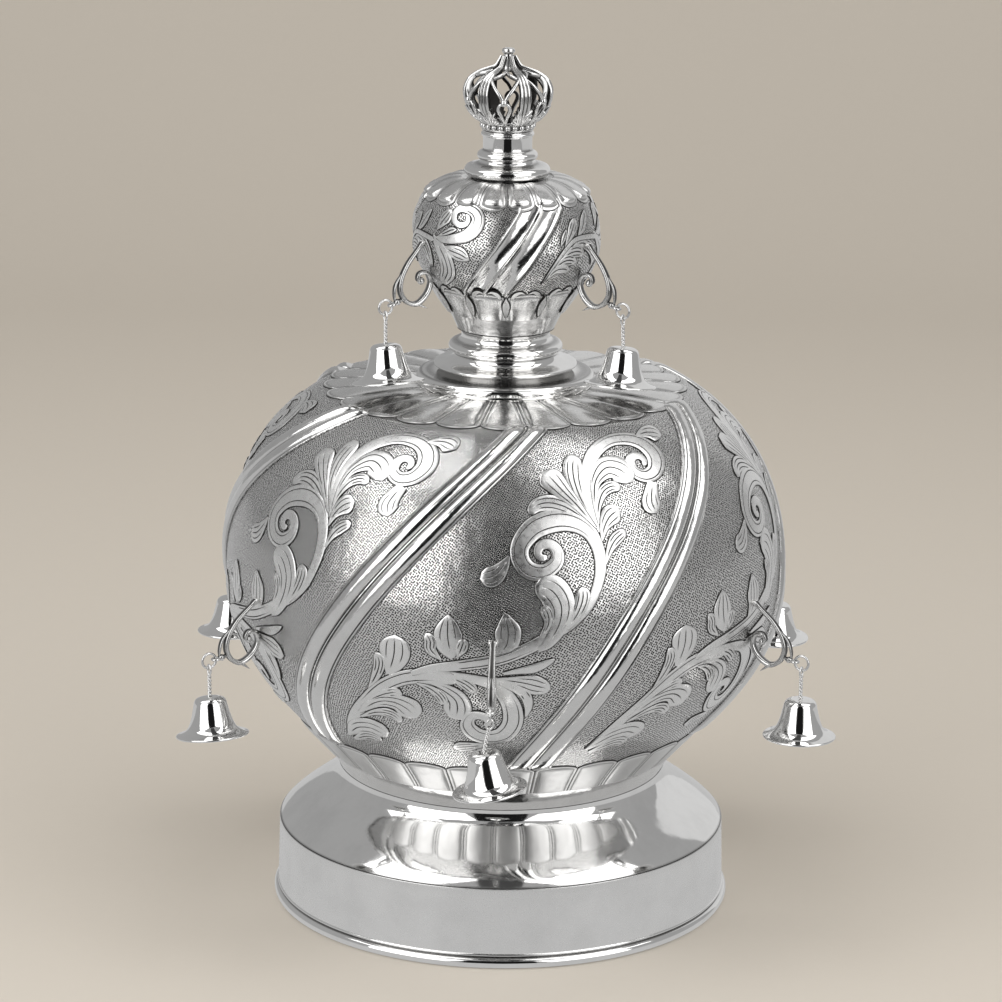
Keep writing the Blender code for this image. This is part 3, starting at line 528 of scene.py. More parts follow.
@dataclass(frozen=True)
class LeafFinish:
    """Burnished leaves with dark engraved lines, painted near black as shade and tarnish: one round the
    border and up to three veins.

    The border, middle and side widths are half widths of those lines in millimetres.
    """

    name: str
    tone: tuple[float, float, float] = (0.88, 0.875, 0.865)
    # Near black of the engraved lines: painted shade and tarnish.
    line_tone: tuple[float, float, float] = (0.035, 0.033, 0.031)
    line_depth: float = 0.00025
    border_width: float = 0.58
    middle_width: float = 0.32
    side_width: float = 0.28

    def line(self, graph: Graph, distance: object, width: float) -> bpy.types.NodeSocket:
        """1 on a line and 0 away from it, from the distance to its middle in mm."""
        return graph.spread(graph.math("ABSOLUTE", distance, clamp=False), width * 0.45, width, 1.0, 0.0)

    def material(self) -> bpy.types.Material:
        """The material, from the marks "across" and "half" in mm and the shares "vein" and "comb"."""
        graph = Graph(self.name)
        across = graph.math("ABSOLUTE", graph.mark("across"), clamp=False)
        half = graph.mark("half")
        border = self.line(graph, graph.math("SUBTRACT", half, across, clamp=False),
                           self.border_width)
        middle = graph.math("MULTIPLY", self.line(graph, across, self.middle_width),
                            graph.mark("vein"))
        beside = graph.math("SUBTRACT", across, graph.math("MULTIPLY", half, 0.5, clamp=False), clamp=False)
        sides = graph.math("MULTIPLY", self.line(graph, beside, self.side_width),
                           graph.mark("comb"))
        lines = graph.math("MAXIMUM", border, graph.math("MAXIMUM", middle, sides))
        # The sunken side walls join the lines: painted shade and tarnish.
        lines = graph.math("MAXIMUM", lines, graph.mark("hollow"))
        base = graph.clouded(self.tone)
        graph.feed(graph.shader.inputs["Base Color"], graph.mix(lines, base, (*self.line_tone, 1.0)))
        gloss = graph.spread(graph.noise(500.0, 5.0, 0.6), 0.3, 0.75, 0.25, 0.35)
        graph.feed(graph.shader.inputs["Roughness"],
                   graph.math("ADD", gloss, graph.math("MULTIPLY", lines, 0.25)))
        height = graph.math("SUBTRACT", 1.0, lines)
        graph.bumps((graph.noise(110.0, 2.0), 0.0002), (height, self.line_depth))
        return graph.material


@dataclass
class Finishes:
    """Every material of the crown, made once."""

    polished: bpy.types.Material
    chased: bpy.types.Material
    leaf: bpy.types.Material
    petal: bpy.types.Material
    bell: bpy.types.Material
    cast: bpy.types.Material
    wire: bpy.types.Material

    @classmethod
    def make(cls) -> "Finishes":
        """Builds the materials."""
        return cls(
            polished=SilverFinish("polished silver", (0.90, 0.895, 0.885), (0.045, 0.09),
                                  0.00010, 0.20).material(),
            chased=ChasedFinish("chased silver").material(),
            leaf=LeafFinish("burnished leaves").material(),
            petal=SilverFinish("burnished petals", (0.80, 0.795, 0.785), (0.20, 0.29),
                               0.0005, 0.22).material(),
            bell=SilverFinish("bell silver", (0.90, 0.895, 0.885), (0.035, 0.07), 0.00008).material(),
            cast=SilverFinish("cast silver", (0.74, 0.735, 0.725), (0.12, 0.22), 0.0003).material(),
            wire=SilverFinish("silver wire", (0.82, 0.815, 0.805), (0.12, 0.20), 0.0).material(),
        )


# Turned pieces


@dataclass
class Foot:
    """The foot: a half-round rim, an upright band, a cushion shoulder and a waist.

    The inside follows the outline from the point whose number is the inner start.
    """

    rim_radius: float = 100.04
    rim_bead: float = 2.3
    band_base: float = 98.2
    band_top: float = 97.5
    band_height: float = 34.9
    step: float = 0.3
    waist: float = 71.5
    height: float = 60.4
    wall: float = 0.9
    columns: int = 288
    inner_start: int = 24

    def outline(self) -> Array:
        """The outside, from the underside up to the waist."""
        rim = arc((self.rim_radius - self.rim_bead, self.rim_bead), self.rim_bead, -90, 90, 14)
        under = [(self.band_base - 0.2, 0.0)]
        line = arc((self.band_base - 0.1, 5.7), 0.6, -80, 80, 6)
        band = np.linspace((self.band_base, 6.6), (self.band_top, self.band_height - 0.4), 10)
        edge = arc((self.band_top - 0.35, self.band_height - 0.35), 0.35, 0, 90, 5)
        drop = self.band_top - self.waist
        rise = self.height - self.band_height
        start = (self.band_top - self.step * 1.5, self.band_height + self.step)
        groove = [(self.band_top - 0.8, self.band_height - 0.15)]
        cushion = bezier((start, (self.band_top - drop * 0.32, self.band_height + rise * 0.36),
                          (self.waist - drop * 0.07, self.band_height + rise * 0.70),
                          (self.waist, self.height)), 44)
        return np.concatenate([under, rim, line, band, edge, groove, cushion])

    def build(self, finishes: Finishes) -> None:
        """Makes the foot as one closed shell."""
        outline = self.outline()
        inside = [(self.waist - self.wall, self.height)]
        inner = outline[self.inner_start:][::-1] - (self.wall, self.wall)
        inner = inner[inner[:, 1] < self.height - self.wall * 1.5]
        foot = [(self.band_base - self.wall, 0.0)]
        loop = np.concatenate([outline, inside, inner, foot])
        sheets = Sheets("hollow", "satin")
        # Painted shade and tarnish in the groove above the rim and under the band's top edge.
        hollow = bump(loop[:, 1], 4.9, 0.35) * (loop[:, 0] > 97) + 0.8 * bump(loop[:, 1], 35.0, 0.3)
        hollow *= np.arange(len(loop)) < len(outline)
        satin = (loop[:, 1] > 6.4) & (loop[:, 1] < self.band_height - 0.2)
        sheets.ring(loop, self.columns, hollow=hollow, satin=satin.astype(float))
        sheets.build("foot_silver", Slot.POLISHED, finishes.polished, "foot")


@dataclass
class Neck:
    """The turned neck between the bulbs: base ring, thin disc, ring and hollow."""

    base: float = 229.8
    height: float = 24.0
    top_radius: float = 20.8
    wall: float = 1.2
    columns: int = 192

    def outline(self) -> Array:
        """The outside, from the base ring to the top."""
        z = self.base
        return np.concatenate([
            [(36.0, z), (38.0, z + 0.05), (38.1, z + 0.5)],
            arc((35.6, z + 2.9), 2.5, -55, 90, 14),
            bezier(((34.6, z + 5.3), (31.0, z + 5.4), (27.6, z + 5.9), (27.2, z + 7.6)), 10),
            [(27.3, z + 7.7), (30.1, z + 7.8)],
            arc((30.0, z + 8.5), 0.65, -80, 80, 7),
            [(29.6, z + 9.3)],
            bezier(((29.0, z + 9.4), (24.6, z + 9.6), (22.6, z + 10.8), (22.2, z + 13.4)), 12),
            arc((22.1, z + 16.1), 2.3, -80, 85, 14),
            bezier(((21.6, z + 18.5), (19.2, z + 18.8), (18.8, z + 20.2), (18.9, z + 21.6)), 10),
            bezier(((18.9, z + 21.8), (19.1, z + 23.2), (19.9, z + 23.8),
                    (self.top_radius, z + self.height)), 8),
        ])

    def build(self, finishes: Finishes) -> None:
        """Makes the neck with its bore."""
        outline = self.outline()
        z = self.base
        bore = np.array([(self.top_radius - self.wall, z + self.height), (17.4, z + 21.0),
                         (19.0, z + 12.0), (25.8, z + 5.0), (33.0, z)])
        loop = np.concatenate([outline, bore])
        # Painted shade and tarnish in the neck's grooves.
        hollow = 0.7 * bump(loop[:, 1], z + 7.6, 0.4) + 0.6 * bump(loop[:, 1], z + 13.5, 0.4)
        hollow += 0.6 * bump(loop[:, 1], z + 18.6, 0.4) + 0.6 * bump(loop[:, 1], z + 5.3, 0.3)
        sheets = Sheets("hollow")
        sheets.ring(loop, self.columns, hollow=hollow)
        sheets.build("neck_silver", Slot.POLISHED, finishes.polished, "neck")


@dataclass
class Collar:
    """The turned collar under the small crown: two rings and a short neck."""

    base: float = 319.4
    height: float = 19.3
    bore: float = 7.0
    columns: int = 144

    def build(self, finishes: Finishes) -> None:
        """Makes the collar with its bore."""
        z = self.base
        outline = np.concatenate([
            arc((15.8, z + 2.4), 2.4, -90, 85, 16),
            bezier(((15.2, z + 4.9), (13.2, z + 5.0), (11.8, z + 5.4), (11.6, z + 6.6)), 8),
            arc((10.9, z + 8.7), 1.9, -75, 80, 12),
            bezier(((11.0, z + 10.7), (10.5, z + 10.9), (10.4, z + 11.4), (10.4, z + 12.0)), 5),
            [(10.4, z + 13.0), (10.4, z + 15.6)],
            arc((10.3, z + 17.8), 0.95, -80, 80, 8),
            [(10.6, z + 18.9), (10.8, z + self.height)],
        ])
        loop = np.concatenate([outline, [(self.bore, z + self.height), (self.bore, z)]])
        # Painted shade and tarnish in the collar's grooves.
        hollow = 0.6 * bump(loop[:, 1], z + 5.4, 0.5) + 0.6 * bump(loop[:, 1], z + 11.2, 0.4)
        sheets = Sheets("hollow")
        sheets.ring(loop, self.columns, hollow=hollow)
        sheets.build("collar_silver", Slot.POLISHED, finishes.polished, "collar")


# Bulbs


@dataclass(frozen=True)
class Ribs:
    """A group of twisted ribs, one group in each sector.

    The group's azimuth is a parabola in the length along the outline: middle + slope times
    (length - middle length) + bend times its square.
    """

    sectors: int
    middle: float
    middle_length: float
    slope: float
    bend: float
    half_width: tuple[float, float]
    ridges: tuple[tuple[float, float, float], ...]
    flutes: tuple[tuple[float, float, float], ...]
    grooves: tuple[float, ...]
    start: float
    end: float

    def azimuth(self, length: Array) -> Array:
        """Azimuth of the group's middle, held beyond its ends."""
        apart = np.clip(length, self.start, self.end) - self.middle_length
        return self.middle + self.slope * apart + self.bend * apart**2

    def slant(self, length: Array, radius: Array) -> Array:
        """The share of a step round the bulb that lies square across the ribs."""
        apart = np.clip(length, self.start, self.end) - self.middle_length
        turn = np.radians(self.slope + 2 * self.bend * apart) * radius
        return 1.0 / np.hypot(1.0, turn)

    def scale(self, length: Array) -> Array:
        """Width of the ribs against their middle width, from the lower to the upper end."""
        share = np.clip((length - self.start) / (self.end - self.start), 0.0, 1.0)
        return self.half_width[0] + (self.half_width[1] - self.half_width[0]) * share

    def lift(self, across: Array) -> Array:
        """Height of the section: the highest rounded ridge there, less the hollow flutes."""
        ridges = [height * dome(across, centre, half) for centre, half, height in self.ridges]
        flutes = [depth * dome(across, centre, half) ** 2 for centre, half, depth in self.flutes]
        return np.max(ridges, axis=0) - sum(flutes, 0 * across)

    def hollow(self, across: Array) -> Array:
        """How dark the tarnish and painted shade are: a narrow bump at each groove."""
        return np.clip(sum(bump(np.abs(across), groove, 0.22) for groove in self.grooves), 0.0, 1.0)


@dataclass(frozen=True)
class Petals:
    """A row of convex petals with a raised rim, from their roots to their rounded tips.

    The satin is the row's mark of that name, which makes it duller, from 0 to 1.
    """

    count: int
    root: float
    tip: float
    scallop: float
    rise: float
    rim: float
    turn: float
    belly: float = 1.0
    tip_swell: float = 0.0
    satin: float = 0.0

    def add(self, sheets: Sheets, outline: Outline) -> None:
        """Adds the row.

        Across a petal the place runs from -1 to 1, closer together at its borders.  Its edge
        is the tip less the scallop times (1 - the root of 1 - place squared).  The lift is
        the rise times (1 - place to the power 2.4) times a swell, plus a thin rim a little
        inside the border.  The swell is fullest halfway along, times the belly, with the tip
        swell added near the tip.

        Args:
            sheets: Where the grid goes.
            outline: The bulb's outline.
        """
        side = np.linspace(-1.0, 1.0, 27)[:-1]
        place = np.tile(np.sin(side * np.pi / 2), self.count)[None, :]
        centre = np.repeat(np.arange(self.count), 26)[None, :] * 360.0 / self.count + self.turn
        azimuth = centre + place * 180.0 / self.count
        share = 1.0 - (1.0 - np.linspace(0.0, 1.0, 34)) ** 1.5
        share = share[:, None]
        towards = np.sign(self.tip - self.root)
        edge = self.tip - towards * self.scallop * (1.0 - np.sqrt(np.clip(1.0 - place**2, 0.0, None)))
        length = self.root + (edge - self.root) * share
        radius = outline.at(length)[0]
        half = np.radians(180.0 / self.count) * radius
        border = np.minimum((1.0 - np.abs(place)) * half, np.abs(edge - length))
        swell = np.sin(np.pi * np.clip(0.12 + 0.80 * share, 0.0, 1.0)) ** 0.6
        swell = swell * self.belly + self.tip_swell * bump(share, 0.84, 0.16)
        body = self.rise * (1.0 - np.abs(place) ** 2.4) * swell
        lift = 0.25 + body * blend(border, 0.9, 2.6) + self.rim * bump(border, 0.75, 0.42)
        # Painted shade and tarnish along the petal's border and in the valley inside its rim; the skirt
        # under the tip is painted fully dark.
        hollow = np.clip(bump(border, 0.0, 0.22) + 0.6 * bump(border, 1.5, 0.28), 0.0, 1.0)
        skirt = np.full_like(place, -0.4)
        points = np.concatenate([
            outline.surface(azimuth, self.root + 0 * azimuth, skirt)[:1],
            outline.surface(azimuth, length, lift),
            outline.surface(azimuth, edge + towards * 0.12, skirt)[:1],
        ])
        hollow = np.concatenate([0 * hollow[:1], hollow, 1 + 0 * hollow[:1]])
        if towards < 0:
            points, hollow = points[::-1], hollow[::-1]
        sheets.grid(points, columns_round=True, rows_round=True, hollow=hollow, satin=self.satin)


@dataclass(frozen=True)
class Leaf:
    """A chased leaf or stem; its knots are (degrees, length along the outline, half width).

    Leaves with a vein are made VEINED_WIDTH times as wide as that, and the others PLAIN_WIDTH
    times.  The copies are how often it goes round the bulb, or 0 for once in each sector, and
    the raised height is in millimetres.
    """

    name: str
    knots: tuple[tuple[float, float, float], ...]
    vein: bool = True
    copies: int = 0
    raised: float = 0.0

    def add(self, sheets: Sheets, outline: Outline, sectors: int, rise: float, layer: float) -> None:
        """Adds the leaf once in each sector, or as often as its copies say.

        Its middle line runs smoothly through the knots.  Each row lies square across that line
        on the surface, and its half width shrinks like a circle over the last part, so the
        tip is round.  The lift is a height times the root of (1 - place to the sixth power),
        a flat-topped dome, plus the layer and the leaf's own raised height.  That height grows
        from 0.8 to 1.2 times the rise towards the tip, and is 0.45 of the half width at most.

        Args:
            sheets: Where the grids go.
            outline: The bulb's outline.
            sectors: How many times the leaf is repeated round the bulb.
            rise: Height of its middle.
            layer: Extra height, so that later leaves lie on earlier ones.
        """
        rough = smooth_path(np.array(self.knots), 160)
        steps = self.metric(outline, rough)
        rows = int(max(10, steps[-1] / 1.0))
        even = np.linspace(0.0, steps[-1], rows)
        azimuth, length, half = (np.interp(even, steps, rough[:, k]) for k in range(3))
        half = np.maximum(half, 0.15) * (VEINED_WIDTH if self.vein else PLAIN_WIDTH)
        left = np.clip((even - (steps[-1] - half[-1])) / half[-1], 0.0, 0.995)
        half = half * np.sqrt(1.0 - left**2)
        place = np.sin(np.linspace(-1.0, 1.0, 11) * np.pi / 2)[None, :]
        wide, spread, reach = outline.strip((azimuth, length, half), place)
        share = (even / steps[-1])[:, None]
        height = np.minimum(rise * (0.8 + 0.4 * share), 0.45 * half[:, None])
        lift = layer + self.raised + height * (1.0 - np.abs(place) ** 6) ** 0.5
        lift = np.where(np.abs(place) > 0.999, -0.05, lift)
        veins = blend(share, 0.15, 0.3) * (1 - blend(share, 0.80, 0.92)) * (half[:, None] > 1.1) * self.vein
        combs = blend(share, 0.35, 0.5) * (1 - blend(share, 0.78, 0.9)) * (half[:, None] > 2.6)
        marks = {"across": wide, "half": half[:, None] + 0 * wide, "vein": veins + 0 * wide,
                 "comb": combs + 0 * wide}
        tuck = np.full((rows, 1), -0.4)
        spread, reach = hemmed(spread), hemmed(reach)
        lift = np.concatenate([lift, tuck, tuck], axis=1)
        marks = {name: hemmed(values) for name, values in marks.items()}
        # The sunken side walls are marked fully dark: painted shade and tarnish where the leaf meets the
        # ground.
        marks["hollow"] = np.where(lift <= tuck, 1.0, 0.0)
        count = self.copies or sectors
        for sector in range(count):
            points = outline.surface(spread + sector * 360.0 / count, reach, lift)
            sheets.grid(points, columns_round=True, capped=True, **marks)

    @staticmethod
    def metric(outline: Outline, rough: Array) -> Array:
        """Distance walked over the surface up to each point of the middle line."""
        radius = outline.at(rough[:, 1])[0]
        over = np.diff(np.radians(rough[:, 0])) * (radius[1:] + radius[:-1]) / 2
        return np.concatenate([[0.0], np.cumsum(np.hypot(over, np.diff(rough[:, 1])))])


@dataclass
class Bulb:
    """A raised bulb: a shell with twisted ribs, and petals and chased leaves laid on it.

    The cove is the length along the outline up to which the ground has no punch marks.  The
    inside has every row whose number from the top is a multiple of the inner step.
    """

    name: str
    node: str
    outline: Outline
    ribs: Ribs
    petals: tuple[Petals, ...]
    leaves: tuple[Leaf, ...]
    leaf_rise: float
    wall: float = 0.9
    cove: float = 0.0
    rib_columns: int = 46
    panel_columns: int = 18
    rows: int = 150
    inner_step: int = 12

    def shell_points(self) -> tuple[Array, dict[str, Array]]:
        """The shell's points with their marks.

        Columns follow the twist, so a column keeps its place across the ribs all the way up.
        The lift is the ribs' section at that place, faded out near both rows of petals.

        Returns:
            Points, and the marks by name: hollow, ground, and the place around and along in mm.
        """
        ribs = self.ribs
        length = np.linspace(0.0, self.outline.total, self.rows)[:, None]
        radius = self.outline.at(length)[0]
        widest = 1.06 * max(abs(centre) + half for centre, half, _ in ribs.ridges)
        across = np.linspace(-widest, widest, self.rib_columns)[None, :]
        turn = np.degrees(across * ribs.scale(length) / (radius * ribs.slant(length, radius)))
        span = 360.0 / ribs.sectors
        steps = np.append(np.linspace(0.0, 1.0, self.panel_columns + 1)[1:-1], 0.998)[None, :]
        panel = turn[:, -1:] + (span - 2 * turn[:, -1:]) * steps
        places = np.concatenate([turn, panel], axis=1)
        azimuth = ribs.azimuth(length) + np.concatenate(
            [places + span * sector for sector in range(ribs.sectors)], axis=1)
        fade = blend(length, ribs.start - 6, ribs.start + 4)
        fade = fade * (1 - blend(length, ribs.end - 3, ribs.end + 8))
        lift = np.concatenate([ribs.lift(across), np.zeros((1, self.panel_columns))], axis=1)
        hollow = np.concatenate([ribs.hollow(across), np.zeros((1, self.panel_columns))], axis=1)
        inside = np.abs(across) < widest * 0.94
        ground = np.concatenate([1.0 - inside, np.ones((1, self.panel_columns))], axis=1)
        middle_radius = self.outline.points[:, 0].max() * 0.95
        around = np.tile(np.radians(ribs.azimuth(length) + places) * middle_radius, ribs.sectors)
        lift = np.tile(lift, ribs.sectors) * fade
        hollow = np.tile(hollow, ribs.sectors) * fade
        ground = np.tile(ground, ribs.sectors) * (length > self.cove)
        outer = self.outline.surface(azimuth, length + 0 * azimuth, lift)
        thin = slice(None, None, -self.inner_step)
        inner = self.outline.surface(azimuth[thin], length[thin] + 0 * azimuth[thin], -self.wall)
        points = np.concatenate([outer, inner])
        plain = np.zeros(inner.shape[:2])
        marks = {"hollow": hollow, "ground": ground, "around": around, "along": length + 0 * around}
        return points, {name: np.concatenate([values, plain]) for name, values in marks.items()}

    def build(self, finishes: Finishes) -> None:
        """Makes the shell, the petals and the leaves."""
        points, marks = self.shell_points()
        sheets = Sheets(*marks)
        sheets.grid(points, rows_round=True, columns_round=True, **marks)
        sheets.build(self.name + "_shell", Slot.CHASED, finishes.chased, self.node)
        petals = Sheets("hollow", "satin")
        for row in self.petals:
            row.add(petals, self.outline)
        petals.build(self.name + "_petals", Slot.CHASED, finishes.petal)
        leaves = Sheets("hollow", "across", "half", "vein", "comb")
        for order, leaf in enumerate(self.leaves):
            leaf.add(leaves, self.outline, self.ribs.sectors, self.leaf_rise, 0.02 * (order % 8))
        leaves.build(self.name + "_scrolls", Slot.CHASED, finishes.leaf)


def large_outline() -> Outline:
    """The large bulb's ground, from the waist to its mouth."""
    lower = bezier(((71.5, 60.7), (79.75, 82.03), (120.0, 101.64), (120.0, 146.0)), 220)
    upper = bezier(((120.0, 146.0), (120.0, 189.97), (103.4, 214.03), (78.5, 227.4)), 220)
    return Outline(np.concatenate([lower, upper[1:], [(38.0, 229.2), (30.0, 229.5)]]))


def small_outline() -> Outline:
    """The small bulb's ground, from its seat to its mouth."""
    lower = bezier(((20.8, 254.1), (26.25, 267.74), (39.6, 279.95), (39.6, 290.0)), 120)
    upper = bezier(((39.6, 290.0), (39.6, 311.83), (30.53, 319.1), (18.0, 318.8)), 120)
    return Outline(np.concatenate([lower, upper[1:], [(13.5, 319.1)]]))


LARGE_LEAVES = (
    Leaf("root stem", ((-39.3, 45.4, 1.6), (-34.2, 60.5, 2.4), (-29.3, 71.6, 2.8), (-24.9, 80.2, 3.0),
                       (-20.5, 85.6, 3.0), (-16.7, 87.8, 3.1), (-12.8, 88.3, 3.1),
                       (-8.7, 87.6, 2.4)), False),
    Leaf("leaf p", ((-23.1, 87.2, 0.9), (-22.1, 92.1, 3.5), (-21.5, 96.9, 4.8), (-21.4, 101.7, 4.5),
                    (-21.4, 104.6, 3.4))),
    Leaf("leaf q", ((-28.1, 78.6, 0.3), (-26.2, 84.2, 1.4), (-25.0, 89.4, 1.9), (-24.8, 93.2, 2.0),
                    (-25.6, 96.2, 1.2))),
    Leaf("leaf s", ((-31.1, 67.5, 0.5), (-26.5, 74.9, 1.4), (-22.8, 78.4, 1.8), (-20.4, 78.2, 2.3))),
    Leaf("leaf t", ((-32.2, 64.1, 0.7), (-26.8, 72.1, 2.1), (-22.7, 73.6, 3.0), (-19.8, 70.7, 4.6),
                    (-18.2, 66.1, 4.0))),
    Leaf("leaf u", ((-32.1, 61.6, 0.6), (-27.5, 66.2, 1.4), (-23.9, 66.5, 2.1), (-21.8, 62.6, 1.6))),
    Leaf("leaf v", ((-39.7, 45.1, 0.7), (-35.1, 52.8, 3.1), (-31.2, 55.0, 4.2), (-28.6, 53.2, 4.6),
                    (-27.2, 50.8, 3.8))),
    Leaf("leaf w", ((-38.5, 42.9, 0.9), (-33.6, 47.8, 2.2), (-31.0, 48.0, 2.4), (-29.8, 45.6, 1.4))),
    Leaf("bud 2", ((-12.0, 96.0, 0.5), (-14.0, 99.9, 1.8), (-14.1, 103.5, 2.0), (-15.1, 106.9, 1.2))),
    Leaf("bud 1", ((-9.8, 97.0, 1.0), (-10.3, 101.1, 3.5), (-10.7, 106.3, 4.2), (-10.7, 111.0, 3.0),
                   (-10.7, 115.4, 0.4))),
    Leaf("bud 3", ((-8.7, 97.7, 0.6), (-8.1, 100.8, 1.8), (-7.7, 103.2, 1.8), (-7.4, 105.6, 1.4))),
    Leaf("bud 4", ((-1.4, 97.7, 0.8), (0.7, 103.2, 3.2), (1.0, 109.0, 3.8), (0.7, 113.0, 2.4),
                   (0.4, 116.8, 0.5))),
    Leaf("cup 3", ((7.3, 105.7, 0.8), (8.8, 111.8, 1.4), (8.6, 116.4, 2.0), (7.4, 119.0, 1.6))),
    Leaf("cup 2", ((12.4, 109.1, 0.8), (14.6, 115.7, 1.9), (15.7, 121.7, 2.4), (15.6, 126.4, 2.0))),
    Leaf("cup 1", ((6.8, 101.1, 1.0), (8.8, 104.1, 1.9), (10.9, 111.6, 3.1), (11.3, 119.2, 4.3),
                   (9.5, 125.4, 4.6), (6.2, 127.6, 3.4))),
    Leaf("fan 1", ((19.6, 149.7, 0.5), (16.1, 159.4, 1.6), (13.3, 166.0, 2.8), (11.0, 171.8, 3.8),
                   (9.4, 175.4, 2.9))),
    Leaf("fan 2", ((19.2, 152.8, 0.5), (17.2, 162.3, 1.8), (16.5, 170.5, 2.7), (17.0, 177.4, 2.9),
                   (18.4, 182.9, 2.0))),
    Leaf("fan 3", ((19.6, 147.8, 0.5), (17.0, 153.9, 1.5), (13.6, 158.9, 2.4), (10.1, 161.1, 2.6),
                   (7.2, 160.2, 2.2), (5.3, 156.5, 1.2))),
    Leaf("inner 2", ((20.3, 151.1, 0.5), (20.9, 158.0, 1.0), (22.6, 163.9, 1.7), (25.2, 166.3, 1.9),
                     (27.6, 165.0, 1.4))),
    Leaf("inner 1", ((20.3, 152.7, 0.6), (20.4, 161.9, 1.1), (21.8, 169.7, 2.0), (25.4, 174.8, 3.8),
                     (28.9, 172.9, 4.6), (30.8, 167.0, 3.6))),
    Leaf("right 2", ((20.9, 134.4, 0.4), (22.0, 140.2, 1.3), (23.7, 144.4, 2.0), (26.3, 147.4, 1.4))),
    Leaf("right 1", ((20.6, 144.2, 0.5), (21.4, 149.4, 1.6), (23.1, 153.7, 3.0), (25.6, 156.3, 3.7))),
    Leaf("crest", ((38.6, 188.0, 0.6), (42.3, 188.9, 2.2), (45.0, 188.0, 3.4), (47.2, 185.6, 2.8))),
    Leaf("hanging", ((36.2, 165.7, 1.8), (34.6, 160.4, 2.6), (34.0, 156.7, 3.4), (34.6, 152.4, 2.8))),
    Leaf("upper stem", ((20.3, 147.8, 0.8), (19.0, 157.5, 1.8), (19.0, 166.1, 2.2), (20.7, 175.8, 2.6),
                        (24.4, 183.7, 2.8), (29.9, 188.0, 2.8), (35.8, 187.5, 3.3), (39.5, 183.3, 3.9),
                        (40.5, 176.6, 4.1), (38.3, 170.6, 3.3), (34.9, 168.9, 2.9), (32.4, 172.0, 2.7),
                        (32.7, 176.6, 2.3), (34.4, 178.6, 1.9), (36.1, 177.8, 1.7), (36.6, 175.3, 1.5),
                        (35.5, 173.4, 1.0)), False),
    Leaf("side", ((1.1, 139.5, 0.6), (-0.1, 135.4, 1.9), (-1.9, 131.6, 3.0), (-4.6, 130.2, 3.0))),
    Leaf("lower stem", ((17.8, 119.8, 1.6), (14.1, 112.8, 2.2), (9.4, 106.9, 2.4), (4.5, 101.4, 2.4),
                        (-0.8, 97.1, 2.4), (-7.6, 94.2, 2.2), (-13.7, 92.0, 1.8),
                        (-18.5, 88.6, 1.2)), False),
    Leaf("great spiral", ((8.8, 104.8, 0.6), (13.8, 111.6, 1.4), (16.9, 118.3, 1.9), (19.0, 127.2, 2.1),
                          (19.8, 135.4, 2.4), (19.3, 142.9, 2.6), (17.5, 149.3, 3.1), (14.1, 153.1, 3.9),
                          (10.2, 153.5, 4.3), (6.2, 150.6, 4.1), (3.5, 144.3, 3.6), (3.4, 138.3, 3.4),
                          (5.2, 133.8, 3.3), (8.1, 133.0, 3.0), (10.6, 136.5, 2.7), (10.9, 141.0, 2.4),
                          (9.5, 144.0, 2.1), (7.6, 143.7, 2.0), (6.9, 140.6, 1.7), (7.8, 138.6, 1.5),
                          (8.9, 139.6, 1.2)), False),
    Leaf("low leaf 2", ((0.2, 91.0, 0.8), (3.2, 92.2, 1.4), (6.2, 93.3, 1.9), (8.9, 95.7, 1.4),
                        (10.4, 97.4, 0.4)), False),
    Leaf("low leaf 1", ((-1.2, 88.6, 0.6), (3.6, 87.1, 2.2), (6.3, 85.6, 3.2), (9.6, 83.5, 1.8))),
    Leaf("low leaf 3", ((-1.4, 87.4, 1.0), (2.4, 84.4, 1.8), (4.6, 80.9, 2.2), (5.3, 75.1, 1.7),
                        (4.8, 69.0, 0.5)), False),
    Leaf("leaf x", ((-17.1, 84.5, 0.5), (-14.4, 82.6, 1.3), (-12.4, 79.0, 1.8), (-11.6, 74.8, 1.6))),
    Leaf("low lobe 1", ((-17.6, 86.3, 1.2), (-12.8, 83.3, 2.2), (-9.6, 78.4, 3.6), (-9.1, 73.1, 4.2),
                        (-9.9, 67.2, 3.6))),
    Leaf("low lobe 2", ((-10.4, 88.7, 0.9), (-7.4, 85.9, 1.9), (-5.1, 81.9, 2.0))),
    Leaf("low tip", ((-3.4, 51.4, 1.0), (-7.8, 49.9, 2.2), (-11.3, 48.7, 2.2))),
    Leaf("low spiral", ((-14.5, 90.0, 1.2), (-11.8, 89.9, 1.5), (-6.8, 88.6, 1.9), (-2.4, 86.3, 2.4),
                        (0.3, 81.6, 3.1), (2.0, 74.5, 3.7), (2.2, 65.9, 3.9), (0.4, 58.9, 4.1),
                        (-2.3, 56.7, 4.1), (-5.4, 58.3, 3.9), (-7.2, 63.6, 3.2), (-6.7, 68.6, 2.3),
                        (-5.1, 70.3, 2.2), (-3.3, 69.0, 1.9), (-2.9, 65.9, 1.5), (-3.9, 64.4, 1.2)), False),
)

